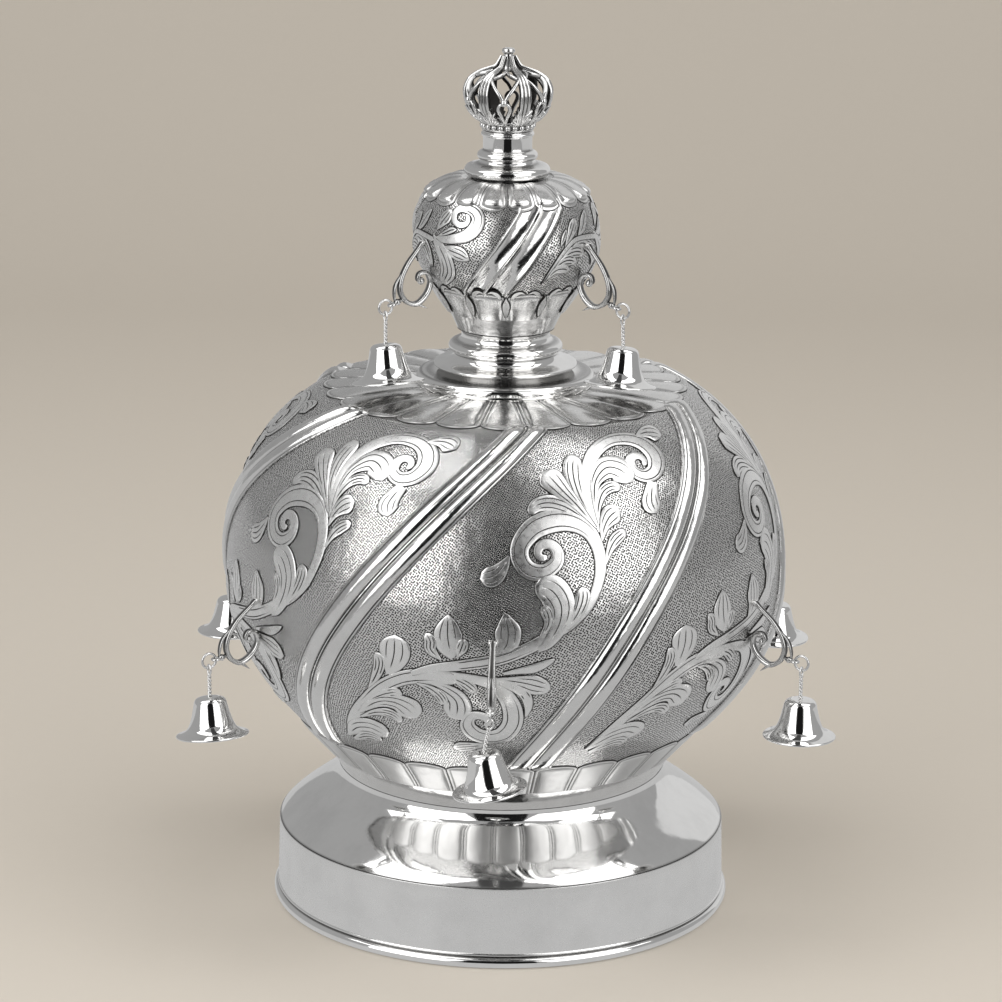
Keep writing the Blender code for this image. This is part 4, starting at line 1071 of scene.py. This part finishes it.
SMALL_LEAVES = (
    Leaf("tall", ((37.7, 45.1, 0.4), (41.8, 49.4, 1.3), (46.1, 53.7, 1.9), (49.3, 57.1, 0.9))),
    Leaf("side", ((34.4, 45.6, 0.3), (37.5, 49.8, 1.0), (40.0, 53.3, 0.4))),
    Leaf("second", ((49.1, 48.9, 0.5), (53.9, 52.0, 1.4), (57.7, 55.6, 1.6), (61.8, 59.6, 0.5))),
    Leaf("lobe 4", ((42.6, 44.6, 0.5), (51.6, 46.1, 1.5), (61.0, 43.6, 2.0), (66.2, 38.6, 1.5),
                    (66.2, 34.9, 0.5))),
    Leaf("lobe 1", ((34.3, 39.3, 0.4), (40.6, 42.5, 1.5), (47.8, 43.0, 2.0), (54.2, 41.4, 1.2))),
    Leaf("lobe 2", ((29.7, 35.5, 0.4), (34.9, 39.1, 1.3), (41.3, 39.9, 1.9), (47.3, 38.3, 0.9))),
    Leaf("lobe 3", ((26.2, 31.6, 0.3), (31.3, 35.8, 1.3), (37.4, 36.4, 1.7), (42.5, 34.9, 0.8))),
    Leaf("stem", ((23.6, 29.6, 0.3), (29.2, 37.5, 0.7), (37.6, 44.1, 1.0), (46.8, 48.0, 1.1),
                  (59.7, 48.0, 1.2), (70.0, 47.0, 1.2)), False),
    Leaf("leaf e", ((77.6, 44.6, 0.7), (85.5, 43.6, 2.0), (92.0, 42.5, 2.2), (97.7, 40.4, 0.4))),
    Leaf("broad", ((68.7, 48.5, 0.9), (75.0, 44.6, 2.0), (80.2, 39.3, 2.7), (79.8, 33.7, 2.7),
                   (70.6, 26.9, 1.3))),
    Leaf("leaf c", ((71.4, 51.2, 0.3), (74.5, 54.5, 1.5), (77.6, 57.5, 2.2), (80.6, 61.0, 1.0))),
    Leaf("leaf d", ((72.6, 48.9, 0.3), (78.6, 50.7, 0.9), (83.7, 52.4, 1.1), (88.3, 52.9, 0.3))),
    Leaf("spiral", ((72.1, 48.5, 0.8), (77.8, 48.0, 1.5), (86.1, 48.9, 2.0), (94.5, 50.7, 2.5),
                    (100.2, 54.5, 2.8), (101.1, 58.6, 2.6), (96.7, 61.6, 2.3), (88.8, 62.2, 1.9),
                    (84.0, 60.0, 1.6), (84.9, 56.4, 1.4), (89.7, 54.9, 1.4), (94.1, 56.0, 1.3),
                    (94.1, 58.6, 1.1), (91.1, 59.6, 0.7)), False),
    Leaf("almond", ((0.0, 22.8, 0.4), (0.0, 18.6, 1.5), (0.0, 14.6, 1.3), (0.0, 10.4, 0.3)),
         False, 12, 0.75),
    Leaf("curl left", ((-14.0, 24.2, 0.4), (-10.0, 25.2, 0.9), (-6.0, 23.6, 1.1),
                       (-4.0, 20.5, 0.7)), False, 12),
    Leaf("curl right", ((14.0, 24.2, 0.4), (10.0, 25.2, 0.9), (6.0, 23.6, 1.1),
                        (4.0, 20.5, 0.7)), False, 12),
)


def large_bulb() -> Bulb:
    """The large bulb with its six pairs of ribs, two rows of petals and six scroll panels."""
    ribs = Ribs(6, -30.5, 115.0, 0.361, 0.00108, (1.07, 0.86),
                ((4.0, 3.4, 2.4), (-4.0, 3.4, 2.4), (0.0, 0.4, 1.0), (7.9, 0.6, 0.9), (-7.9, 0.6, 0.9)), (),
                (0.6, 7.4, 8.5), 34.0, 197.0)
    petals = (Petals(30, 11.0, 32.5, 4.0, 0.9, 0.25, 3.0, satin=1.0),
              Petals(24, 237.5, 197.5, 7.0, 1.5, 0.40, -0.5))
    return Bulb("large_bulb", "large_bulb", large_outline(), ribs, petals, LARGE_LEAVES, 0.42, cove=11.0)


def small_bulb() -> Bulb:
    """The small bulb with its three groups of ribs, two rows of petals and three panels."""
    ribs = Ribs(3, 3.8, 43.0, 1.06, 0.0, (1.0, 1.0),
                ((0.0, 0.7, 1.3), (-7.7, 0.7, 1.3), (7.7, 0.7, 1.3)),
                ((-3.85, 3.2, 1.0), (3.85, 3.2, 1.0)), (8.9,), 24.5, 62.0)
    petals = (Petals(12, 9.0, 24.0, 3.0, 1.0, 0.3, 15.0),
              Petals(18, 80.5, 61.5, 4.0, 1.3, 0.0, 10.0, 0.35, 0.9))
    return Bulb("small_bulb", "small_bulb", small_outline(), ribs, petals, SMALL_LEAVES, 0.35,
                cove=9.0, panel_columns=40, rows=110)


# Hanging pieces


@dataclass
class Bells:
    """A tier of brackets, each with its ring, twisted link and bell.

    The swings are how far in degrees the links hang to one side, and the tilts how far the
    bells lean.  The tip is where the bracket starts and the ring is the ring's middle, both as
    (radius, height).  The reach and the drop are the bracket's size in its own plane.
    """

    tier: str
    azimuths: tuple[float, ...]
    swings: tuple[float, ...]
    tilts: tuple[float, ...]
    tip: tuple[float, float]
    ring: tuple[float, float]
    reach: float
    drop: float
    ring_radius: float = 3.1
    ring_wire: float = 0.55
    link_length: float = 12.4
    link_wire: float = 0.45

    def bell_outline(self) -> Array:
        """The bell's section from the hole in its crown down to the brim and back up inside."""
        outside = np.concatenate([
            [(1.0, 0.05), (2.6, 0.03)],
            bezier(((3.4, 0.0), (5.4, -0.2), (6.5, -0.9), (6.9, -2.6)), 12),
            bezier(((7.0, -3.2), (8.1, -8.2), (8.9, -11.2), (10.3, -13.2)), 18),
            bezier(((10.6, -13.6), (11.8, -14.8), (13.2, -15.3), (14.7, -15.6)), 10),
            arc((14.85, -16.15), 0.5, 80, -85, 8),
        ])
        inside = np.concatenate([
            bezier(((14.3, -16.4), (12.3, -16.0), (10.8, -15.2), (9.5, -13.4)), 10),
            bezier(((9.2, -13.0), (8.0, -10.8), (7.3, -7.4), (6.2, -2.4)), 12),
            [(5.6, -1.3), (3.6, -0.75), (1.0, -0.7)],
        ])
        return np.concatenate([outside, inside])

    def link_path(self) -> Array:
        """The link's loop: an oval that closes on itself, in (crosswise, height) from the ring."""
        turn = np.linspace(0.0, 2 * np.pi, 29)[:-1]
        top = self.ring_wire + 0.3 + self.link_wire - self.ring_radius
        return np.stack([1.35 * np.sin(turn), top - 2.1 + 2.1 * np.cos(turn)], axis=1)

    def bracket_parts(self) -> list[tuple[Array, Array]]:
        """The bracket's members in its own plane, as paths with their half widths.

        Returns:
            Pairs of a path of (out, up) points and its (thickness, width) at each point.
        """
        reach, drop = self.reach, self.drop
        arm = np.array([(0.03, 0.00), (0.19, -0.12), (0.42, -0.32), (0.60, -0.57), (0.67, -0.83),
                        (0.60, -1.07), (0.43, -1.19), (0.22, -1.08), (0.085, -0.86), (0.11, -0.65),
                        (0.24, -0.60), (0.30, -0.70), (0.25, -0.78)]) * (reach, drop)
        arm[:, 0] = np.maximum(arm[:, 0], 1.0)
        arm = smooth_path(arm, 90)
        share = np.linspace(0.0, 1.0, 90)
        size = np.stack([1.0 + 0.35 * np.sin(np.pi * share),
                         1.0 + 0.8 * np.sin(np.pi * share) ** 0.7], axis=1)
        size[:6] *= np.linspace(1.5, 1.0, 6)[:, None]
        ring_x = reach - self.ring_radius
        cusp = smooth_path(np.array([(0.52, -0.42), (0.72, -0.62), (0.80, -0.86), (0.80, -1.02)])
                           * (reach, drop), 24)
        cusp_size = np.stack([0.55 * np.sin(np.pi * np.linspace(0.05, 0.98, 24)) + 0.1,
                              1.1 * np.sin(np.pi * np.linspace(0.05, 0.98, 24)) + 0.1], axis=1)
        calyx = np.linspace((0.64 * reach, -0.97 * drop), (ring_x - 1.5, -drop), 14)
        calyx_size = np.repeat((0.8 + 0.85 * bump(np.linspace(0, 1, 14), 0.75, 0.25))[:, None], 2, axis=1)
        spike = np.linspace((0.43 * reach, -1.19 * drop), (0.26 * reach, -1.38 * drop), 12)
        spike_size = np.repeat((1.05 * (1 - np.linspace(0, 1, 12)) ** 0.8 + 0.08)[:, None], 2, axis=1)
        return [(arm, size), (cusp, cusp_size), (calyx, calyx_size), (spike, spike_size)]

    def ridged_section(self, size: Array, count: int = 16) -> Array:
        """Oval sections with a groove along their outer side, so that two ridges show."""
        turn = np.radians(np.arange(count) * 360.0 / count)
        groove = 1.0 - 0.42 * np.abs(np.cos(turn)) ** 8
        return np.stack([size[:, :1] * np.cos(turn) * groove, size[:, 1:] * np.sin(turn)], axis=-1)

    def place(self, points: Array, azimuth: float) -> Array:
        """Points of a bracket's own plane (out, across, up from the tip) put in the crown's frame."""
        lean = np.arctan2(self.ring[1] - self.tip[1], self.ring[0] - self.tip[0])
        lean -= np.arctan2(-self.drop, self.reach)
        out = points[..., 0] * np.cos(lean) - points[..., 2] * np.sin(lean) + self.tip[0]
        up = points[..., 0] * np.sin(lean) + points[..., 2] * np.cos(lean) + self.tip[1]
        return self.turn(np.stack([out, points[..., 1], up], axis=-1), azimuth)

    @staticmethod
    def turn(points: Array, azimuth: float) -> Array:
        """Points given as (outwards, to the right seen from outside, up) turned to an azimuth."""
        angle = np.radians(azimuth)
        out, right = points[..., 0], points[..., 1]
        return np.stack([out * np.sin(angle) + right * np.cos(angle),
                         -out * np.cos(angle) + right * np.sin(angle), points[..., 2]], axis=-1)

    @staticmethod
    def swung(points: Array, degrees: float, pivot: float) -> Array:
        """Points (outwards, right, up) turned about the outward line at the pivot's height."""
        angle = np.radians(degrees)
        right, up = points[..., 1], points[..., 2] - pivot
        return np.stack([points[..., 0], right * np.cos(angle) - up * np.sin(angle),
                         right * np.sin(angle) + up * np.cos(angle) + pivot], axis=-1)

    def build_bracket(self, number: int, azimuth: float, finishes: Finishes) -> None:
        """Makes one bracket with its eye and bead."""
        sheets = Sheets("hollow")
        for path, size in self.bracket_parts():
            line = np.stack([path[:, 0], 0 * path[:, 0], path[:, 1]], axis=1)
            section = self.ridged_section(size)
            turn = np.radians(np.arange(section.shape[1]) * 360.0 / section.shape[1])
            # Painted shade and tarnish in the groove along each member, and over one whole face of it.
            hollow = 0.9 * bump(np.abs(np.cos(turn)), 1.0, 0.10) + 0.3 * (np.cos(turn) < 0)
            hollow = np.clip(hollow, 0.0, 1.0)[None, :]
            sheets.grid(self.place(carried(line, section, (0, 1, 0)), azimuth), columns_round=True,
                        capped=True, hollow=hollow)
        ring_x = self.reach - self.ring_radius
        turn = np.linspace(0, 2 * np.pi, 25)[:-1]
        eye = np.stack([ring_x + 1.45 * np.cos(turn), 1.45 * np.sin(turn), 0 * turn - self.drop], axis=1)
        closed = np.concatenate([eye, eye[:1]])
        grid = carried(closed, round_section(0.6, 8), (0, 0, 1))[:-1]
        sheets.grid(self.place(grid, azimuth), columns_round=True, rows_round=True)
        angle = np.linspace(-89.0, 89.0, 13)
        ball = 1.6 * np.stack([np.cos(np.radians(angle)), np.sin(np.radians(angle))], axis=1)
        centre = (0.25 * self.reach, 0.0, -0.76 * self.drop)
        sheets.grid(self.place(turned(ball, 20, centre), azimuth), columns_round=True, capped=True)
        for side in (-1.0, 1.0):
            knob = turned(ball * 0.62, 14, (1.1, 1.05 * side, 0.1))
            sheets.grid(self.place(knob, azimuth), columns_round=True, capped=True)
        sheets.build(f"{self.tier}_bracket_cast_{number}", Slot.CAST, finishes.cast,
                     f"{self.tier}_bracket_{number}")

    def build_hanging(self, number: int, azimuth: float, finishes: Finishes) -> None:
        """Makes one ring, link and bell."""
        out, up = self.ring
        swing, tilt = self.swings[number - 1], self.tilts[number - 1]
        pivot = up - self.ring_radius
        turn = np.linspace(0, 2 * np.pi, 41)
        loop = np.stack([out + self.ring_radius * np.cos(turn), 0 * turn,
                         up + self.ring_radius * np.sin(turn)], axis=1)
        grid = carried(loop, round_section(self.ring_wire, 12), (0, 1, 0))[:-1]
        ring = Sheets("hollow")
        ring.grid(self.turn(grid, azimuth), columns_round=True, rows_round=True, hollow=0.15)
        ring.build(f"{self.tier}_ring_wire_{number}", Slot.WIRE, finishes.wire,
                   f"{self.tier}_ring_{number}")
        link = Sheets("hollow")
        oval = self.link_path()
        loop = np.stack([out + 0 * oval[:, 0], oval[:, 0], up + oval[:, 1]], axis=1)
        closed = np.concatenate([loop[-1:], loop, loop[:2]])
        grid = carried(closed, round_section(self.link_wire, 8), (1, 0, 0))[1:-2]
        link.grid(self.turn(self.swung(grid, swing, pivot), azimuth), columns_round=True, rows_round=True)
        top = up + oval[:, 1].min() + 0.3
        low = up - self.ring_radius - self.link_length - 1.6
        share = np.linspace(0.0, 1.0, 90)
        for phase in (0.0, np.pi):
            twist = share * 2 * np.pi * 3.5 + phase
            reach = 0.46 + 0.9 * bump(share, 1.0, 0.07)
            strand = np.stack([out + reach * np.cos(twist), reach * np.sin(twist),
                               top + (low - top) * share], axis=1)
            grid = carried(strand, round_section(self.link_wire, 8), (1, 0.001, 0))
            link.grid(self.turn(self.swung(grid, swing, pivot), azimuth), columns_round=True, capped=True)
        link.build(f"{self.tier}_link_wire_{number}", Slot.WIRE, finishes.wire,
                   f"{self.tier}_link_{number}")
        crown = pivot - self.link_length
        outline = self.bell_outline()
        # The bell's inside is darkened: painted shade and tarnish.
        hollow = np.where(np.arange(len(outline)) > 50, 0.30, 0.0)
        body = self.swung(turned(outline, 72, (out, 0.0, crown)), tilt - swing, crown)
        bell = Sheets("hollow")
        bell.grid(self.turn(self.swung(body, swing, pivot), azimuth), rows_round=True, columns_round=True,
                  hollow=hollow[:, None])
        bell.build(f"{self.tier}_bell_silver_{number}", Slot.BELL, finishes.bell,
                   f"{self.tier}_bell_{number}")

    def build(self, finishes: Finishes) -> None:
        """Makes the whole tier."""
        for number, azimuth in enumerate(self.azimuths, 1):
            self.build_bracket(number, azimuth, finishes)
            self.build_hanging(number, azimuth, finishes)


@dataclass
class TopCrown:
    """The small cast crown: beaded base, six arches, six split stems between, neck and knob.

    The root leaves are (degrees from the arch, height, thickness).
    """

    base: float = 339.0
    first: float = -5.5
    arches: int = 6
    bead_count: int = 22
    root_leaves: tuple[tuple[float, float, float], ...] = (
        (10.0, 9.6, 1.5), (14.0, 7.0, 1.3), (17.0, 4.4, 1.1), (19.0, 2.2, 0.9))

    def wall(self) -> Outline:
        """The crown's outline from its base to the neck."""
        rise = np.array([(10.8, 3.4), (12.5, 4.9), (15.3, 7.9), (17.2, 11.5), (18.0, 15.2), (17.8, 18.0),
                         (16.0, 21.3), (12.4, 23.7), (8.2, 25.2), (5.4, 26.3), (3.7, 28.6), (2.5, 30.8)])
        return Outline(smooth_path(rise + (0.0, self.base), 160))

    def strip(self, sheets: Sheets, outline: Outline, knots: Array, lines: int, rise: float) -> None:
        """Adds a strip on the crown's outline with some raised lines along it.

        Args:
            sheets: Where the grid goes.
            outline: The crown's outline.
            knots: (degrees, length, half width) along the strip's middle.
            lines: How many raised lines it has.
            rise: Their height.
        """
        path = smooth_path(knots, 60)
        place = np.linspace(-1.0, 1.0, 6 * lines + 1)[None, :]
        wide, spread, reach = outline.strip(path.T, place)
        wave = np.abs(np.sin(place * np.pi / 2 * lines + np.pi / 2 * (lines % 2 == 0) + np.pi / 2))
        lift = rise * (wave if lines > 1 else np.sqrt(1 - place**2 * 0.9)) + 0 * wide
        # Painted shade and tarnish in the valleys between raised lines and on the strip's sunken side
        # walls.
        hollow = np.clip(1.0 - 2.2 * lift / rise, 0.0, 1.0) if lines > 1 else 0 * lift
        back = np.full((len(path), 1), -1.3)
        spread, reach = hemmed(spread), hemmed(reach)
        lift = np.concatenate([lift, back, back], axis=1)
        hollow = np.concatenate([hollow, 1 + 0 * back, 1 + 0 * back], axis=1)
        sheets.grid(outline.surface(spread, reach, lift), columns_round=True, capped=True, hollow=hollow)

    def arch(self, sheets: Sheets, outline: Outline, azimuth: float) -> None:
        """Adds an arch of three raised lines, with spiky leaves on both sides of its root."""
        total = outline.total
        knots = [(azimuth, 0.0, 2.0), (azimuth, total * 0.30, 2.5), (azimuth, total * 0.50, 2.4),
                 (azimuth, total * 0.72, 1.6), (azimuth, total * 0.88, 1.0), (azimuth, total, 0.8)]
        self.strip(sheets, outline, np.array(knots), 3, 1.0)
        for side in (-1.0, 1.0):
            for away, tall, rise in self.root_leaves:
                leaf = [(azimuth + side * 3.0, tall * 0.25, 0.7),
                        (azimuth + side * away * 0.6, tall * 0.6, 1.3),
                        (azimuth + side * away, tall, 0.25)]
                self.strip(sheets, outline, np.array(leaf), 1, rise)

    def stem(self, sheets: Sheets, outline: Outline, azimuth: float, ball: Array) -> None:
        """Adds a stem: a V that opens upwards to a bead, and two ribs from there to the arches."""
        for side in (-1.0, 1.0):
            opening = [(azimuth + side * 1.0, 0.3, 0.55), (azimuth + side * 3.5, 4.6, 0.65),
                       (azimuth + side * 8.5, 9.0, 0.75), (azimuth + side * 6.5, 11.4, 0.65),
                       (azimuth, 12.4, 0.5)]
            self.strip(sheets, outline, np.array(opening), 1, 0.7)
            rib = [(azimuth + side * 0.8, 12.8, 0.65), (azimuth + side * 6.0, 15.8, 0.7),
                   (azimuth + side * 15.0, 19.4, 0.65), (azimuth + side * 23.0, 23.0, 0.6)]
            self.strip(sheets, outline, np.array(rib), 1, 0.6)
            lozenge = [(azimuth + side * 22.0, 24.0, 0.5), (azimuth + side * 10.0, 27.0, 0.5),
                       (azimuth, 30.5, 0.5)]
            self.strip(sheets, outline, np.array(lozenge), 1, 0.5)
        knot = outline.surface(azimuth, 12.7, 0.4)
        sheets.grid(turned(ball * 1.15, 14, tuple(knot)), columns_round=True, capped=True)

    def build(self, finishes: Finishes) -> None:
        """Makes the crown as one casting."""
        z = self.base
        sheets = Sheets("hollow")
        ring = np.concatenate([
            [(9.2, z), (10.6, z)], arc((10.6, z + 0.5), 0.5, -80, 80, 6),
            [(10.3, z + 1.2), (10.3, z + 2.6)],
            arc((10.6, z + 3.2), 0.6, -80, 85, 6), [(10.2, z + 3.9), (9.2, z + 3.9)]])
        # Painted shade and tarnish in the channel that holds the beads.
        sheets.ring(ring, 96, hollow=bump(ring[:, 1], z + 1.9, 1.0) * 0.9)
        angle = np.linspace(-88.0, 88.0, 9)
        ball = 1.25 * np.stack([np.cos(np.radians(angle)), np.sin(np.radians(angle))], axis=1)
        for index in range(self.bead_count):
            turn = np.radians(index * 360.0 / self.bead_count)
            sheets.grid(turned(ball, 12, (10.7 * np.sin(turn), -10.7 * np.cos(turn), z + 1.9)),
                        columns_round=True, capped=True)
        outline = self.wall()
        step = 360.0 / self.arches
        for index in range(self.arches):
            self.arch(sheets, outline, self.first + (index + 0.5) * step)
            self.stem(sheets, outline, self.first + index * step, ball)
        neck = np.concatenate([
            [(0.3, z + 24.2)], (outline.points[-42:] - (0.6, 0.3))[::3], [(2.0, z + 31.2), (2.0, z + 31.8)],
            arc((1.6, z + 33.1), 1.2, -80, 88, 12), [(0.3, z + 34.3)]])
        sheets.grid(turned(neck, 40), columns_round=True, capped=True)
        sheets.build("top_crown_cast", Slot.CAST, finishes.cast, "top_crown")


# Studio


@dataclass
class Studio:
    """The floor and backdrop, the soft lights, the glowing cards that paint reflections, and the camera.

    The lens and the camera's place are in millimetres, the pitch and roll in radians.  The
    rest is in metres: a soft box is (name, place, size, power in watts), and a card is
    (name, corners, tone).
    """

    lens: float = 134.886
    camera_place: tuple[float, float, float] = (-1.2899, -1568.6042, 598.4358)
    pitch: float = 0.2627
    roll: float = 0.010
    aim: tuple[float, float, float] = (0.0, 0.0, 0.18)
    world_strength: float = 0.36
    soft_boxes: tuple[tuple, ...] = (
        ("left box", (-1.20, -1.22, 0.78), (1.45, 1.5), 12.5),
        ("right box", (1.20, -1.22, 0.78), (1.45, 1.5), 10.5),
        ("left top box", (-0.95, -0.25, 1.95), (1.2, 1.9), 13.0),
        ("right top box", (0.95, -0.25, 1.95), (1.2, 1.9), 13.0),
    )
    # Glowing cards seen only in reflections, no lamps: painted reflections. The dark front and top cards
    # paint the dark gap in front and overhead; the floor and back cards paint a pale floor and wall.
    cards: tuple[tuple, ...] = (
        ("front card", ((-0.6, -1.85, -1.0), (0.6, -1.85, -1.0),
                        (0.6, -1.85, 1.9), (-0.6, -1.85, 1.9)), 0.01),
        ("floor card", ((-2.5, -0.62, -0.01), (2.5, -0.62, -0.01),
                        (2.5, 2.5, -0.01), (-2.5, 2.5, -0.01)), 0.55),
        ("top card", ((-0.32, -1.85, 2.0), (0.32, -1.85, 2.0),
                      (0.32, 0.5, 2.4), (-0.32, 0.5, 2.4)), 0.06),
        ("back card", ((-0.1, 2.3, 0.0), (2.6, 2.3, 0.0),
                       (2.6, 2.3, 3.2), (-0.1, 2.3, 3.2)), 0.68),
    )

    def backdrop(self) -> None:
        """A pale sheet that lies on the ground and curves up behind the crown."""
        turn = np.radians(np.linspace(0.0, 90.0, 20))
        curve = np.concatenate([[(-3.0, 0.0), (-1.0, 0.0)],
                                np.stack([1.2 + 0.9 * np.sin(turn), 0.9 - 0.9 * np.cos(turn)], axis=1),
                                [(2.1, 3.2)]])
        over = np.linspace(-3.5, 3.5, 3)
        points = np.stack(np.broadcast_arrays(over[:, None], curve[None, :, 0], curve[None, :, 1]), axis=-1)
        rows, columns = points.shape[:2]
        faces = [(r * columns + c, (r + 1) * columns + c, (r + 1) * columns + c + 1, r * columns + c + 1)
                 for r in range(rows - 1) for c in range(columns - 1)]
        mesh = bpy.data.meshes.new("backdrop")
        mesh.from_pydata(points.reshape(-1, 3).tolist(), [], faces)
        mesh.shade_smooth()
        item = linked("backdrop", mesh)
        graph = Graph("backdrop paper")
        grain = graph.mix(graph.noise(180.0, 3.0), (0.650, 0.594, 0.516, 1.0), (0.662, 0.605, 0.526, 1.0))
        graph.shade({"Metallic": 0.0, "Roughness": 0.9, "Base Color": grain})
        mesh.materials.append(graph.material)
        # The backdrop is hidden from reflections, which see the floor card instead: a painted reflection of
        # the floor.
        item.visible_glossy = False

    def card(self, name: str, corners: tuple, tone: float) -> None:
        """A flat glowing card of one even tone, which only mirror-like reflections see: a painted
        reflection, not a lamp.

        Args:
            name: Its name.
            corners: Its four corners, in metres.
            tone: The strength of its even glow.
        """
        mesh = bpy.data.meshes.new(name)
        mesh.from_pydata(corners, [], [(0, 1, 2, 3)])
        graph = Graph(name)
        graph.shade({"Metallic": 0.0, "Base Color": (0.0, 0.0, 0.0, 1.0), "Specular IOR Level": 0.0,
                     "Emission Color": (1.0, 1.0, 1.0, 1.0), "Emission Strength": tone})
        mesh.materials.append(graph.material)
        item = linked(name, mesh)
        item.visible_camera = item.visible_diffuse = item.visible_shadow = False

    def soft_box(self, name: str, place: tuple, aim: tuple, size: tuple, power: float) -> None:
        """A rectangular soft light at a place, turned towards a point.

        Args:
            name: Its name.
            place: Where it stands, in metres.
            aim: What it faces.
            size: Its width and height.
            power: Its power in watts.
        """
        data = bpy.data.lights.new(name, "AREA")
        data.shape = "RECTANGLE"
        data.size, data.size_y = size
        data.energy = power
        item = linked(name, data)
        away = np.array(place) - np.array(aim)
        depth = away / np.linalg.norm(away)
        right = np.cross((0, 0, 1), depth)
        right /= np.linalg.norm(right)
        up = np.cross(depth, right)
        turn = np.eye(4)
        turn[:3, 0], turn[:3, 1], turn[:3, 2], turn[:3, 3] = right, up, depth, place
        item.matrix_world = Matrix(turn.tolist())

    def build(self) -> None:
        """Makes the whole studio."""
        self.backdrop()
        for name, place, size, power in self.soft_boxes:
            self.soft_box(name, place, self.aim, size, power)
        for name, corners, tone in self.cards:
            self.card(name, corners, tone)
        world = bpy.data.worlds.new("studio")
        world.use_nodes = True
        world.node_tree.nodes["Background"].inputs["Color"].default_value = (1.0, 1.0, 1.0, 1.0)
        world.node_tree.nodes["Background"].inputs["Strength"].default_value = self.world_strength
        bpy.context.scene.world = world
        bpy.context.scene.view_settings.view_transform = "Standard"
        self.camera()

    def camera(self) -> None:
        """The camera at the photograph's place: turned down by the pitch and rolled a little."""
        data = bpy.data.cameras.new("camera")
        data.lens = self.lens
        data.sensor_width = 36.0
        data.clip_start, data.clip_end = 0.05, 20.0
        data.dof.use_dof = False
        item = linked("camera", data)
        turn = Matrix.Rotation(np.pi / 2 - self.pitch, 4, "X") @ Matrix.Rotation(self.roll, 4, "Z")
        item.matrix_world = Matrix.Translation([value * MM for value in self.camera_place]) @ turn
        bpy.context.scene.camera = item


def main() -> None:
    """Builds every piece of the crown and the studio."""
    logging.basicConfig(level=logging.INFO, format="%(name)s: %(message)s")
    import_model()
    finishes = Finishes.make()
    Foot().build(finishes)
    large_bulb().build(finishes)
    Neck().build(finishes)
    small_bulb().build(finishes)
    Collar().build(finishes)
    TopCrown().build(finishes)
    Bells("lower", (-1.9, 60.9, 119.4, 179.3, 239.3, 301.3), (-11.0, 0.0, 2.0, -3.0, 3.0, 1.0),
          (9.0, -1.0, 2.0, -3.0, 3.0, 8.0), (119.96, 149.5), (143.18, 126.36), 25.0, 21.2).build(finishes)
    Bells("upper", (-60.5, 57.5, 179.0), (0.0, 4.0, 2.0), (9.0, -8.0, 2.0), (39.48, 294.1), (57.98, 267.81),
          25.0, 20.2).build(finishes)
    Studio().build()


if __name__ == "__main__":
    main()
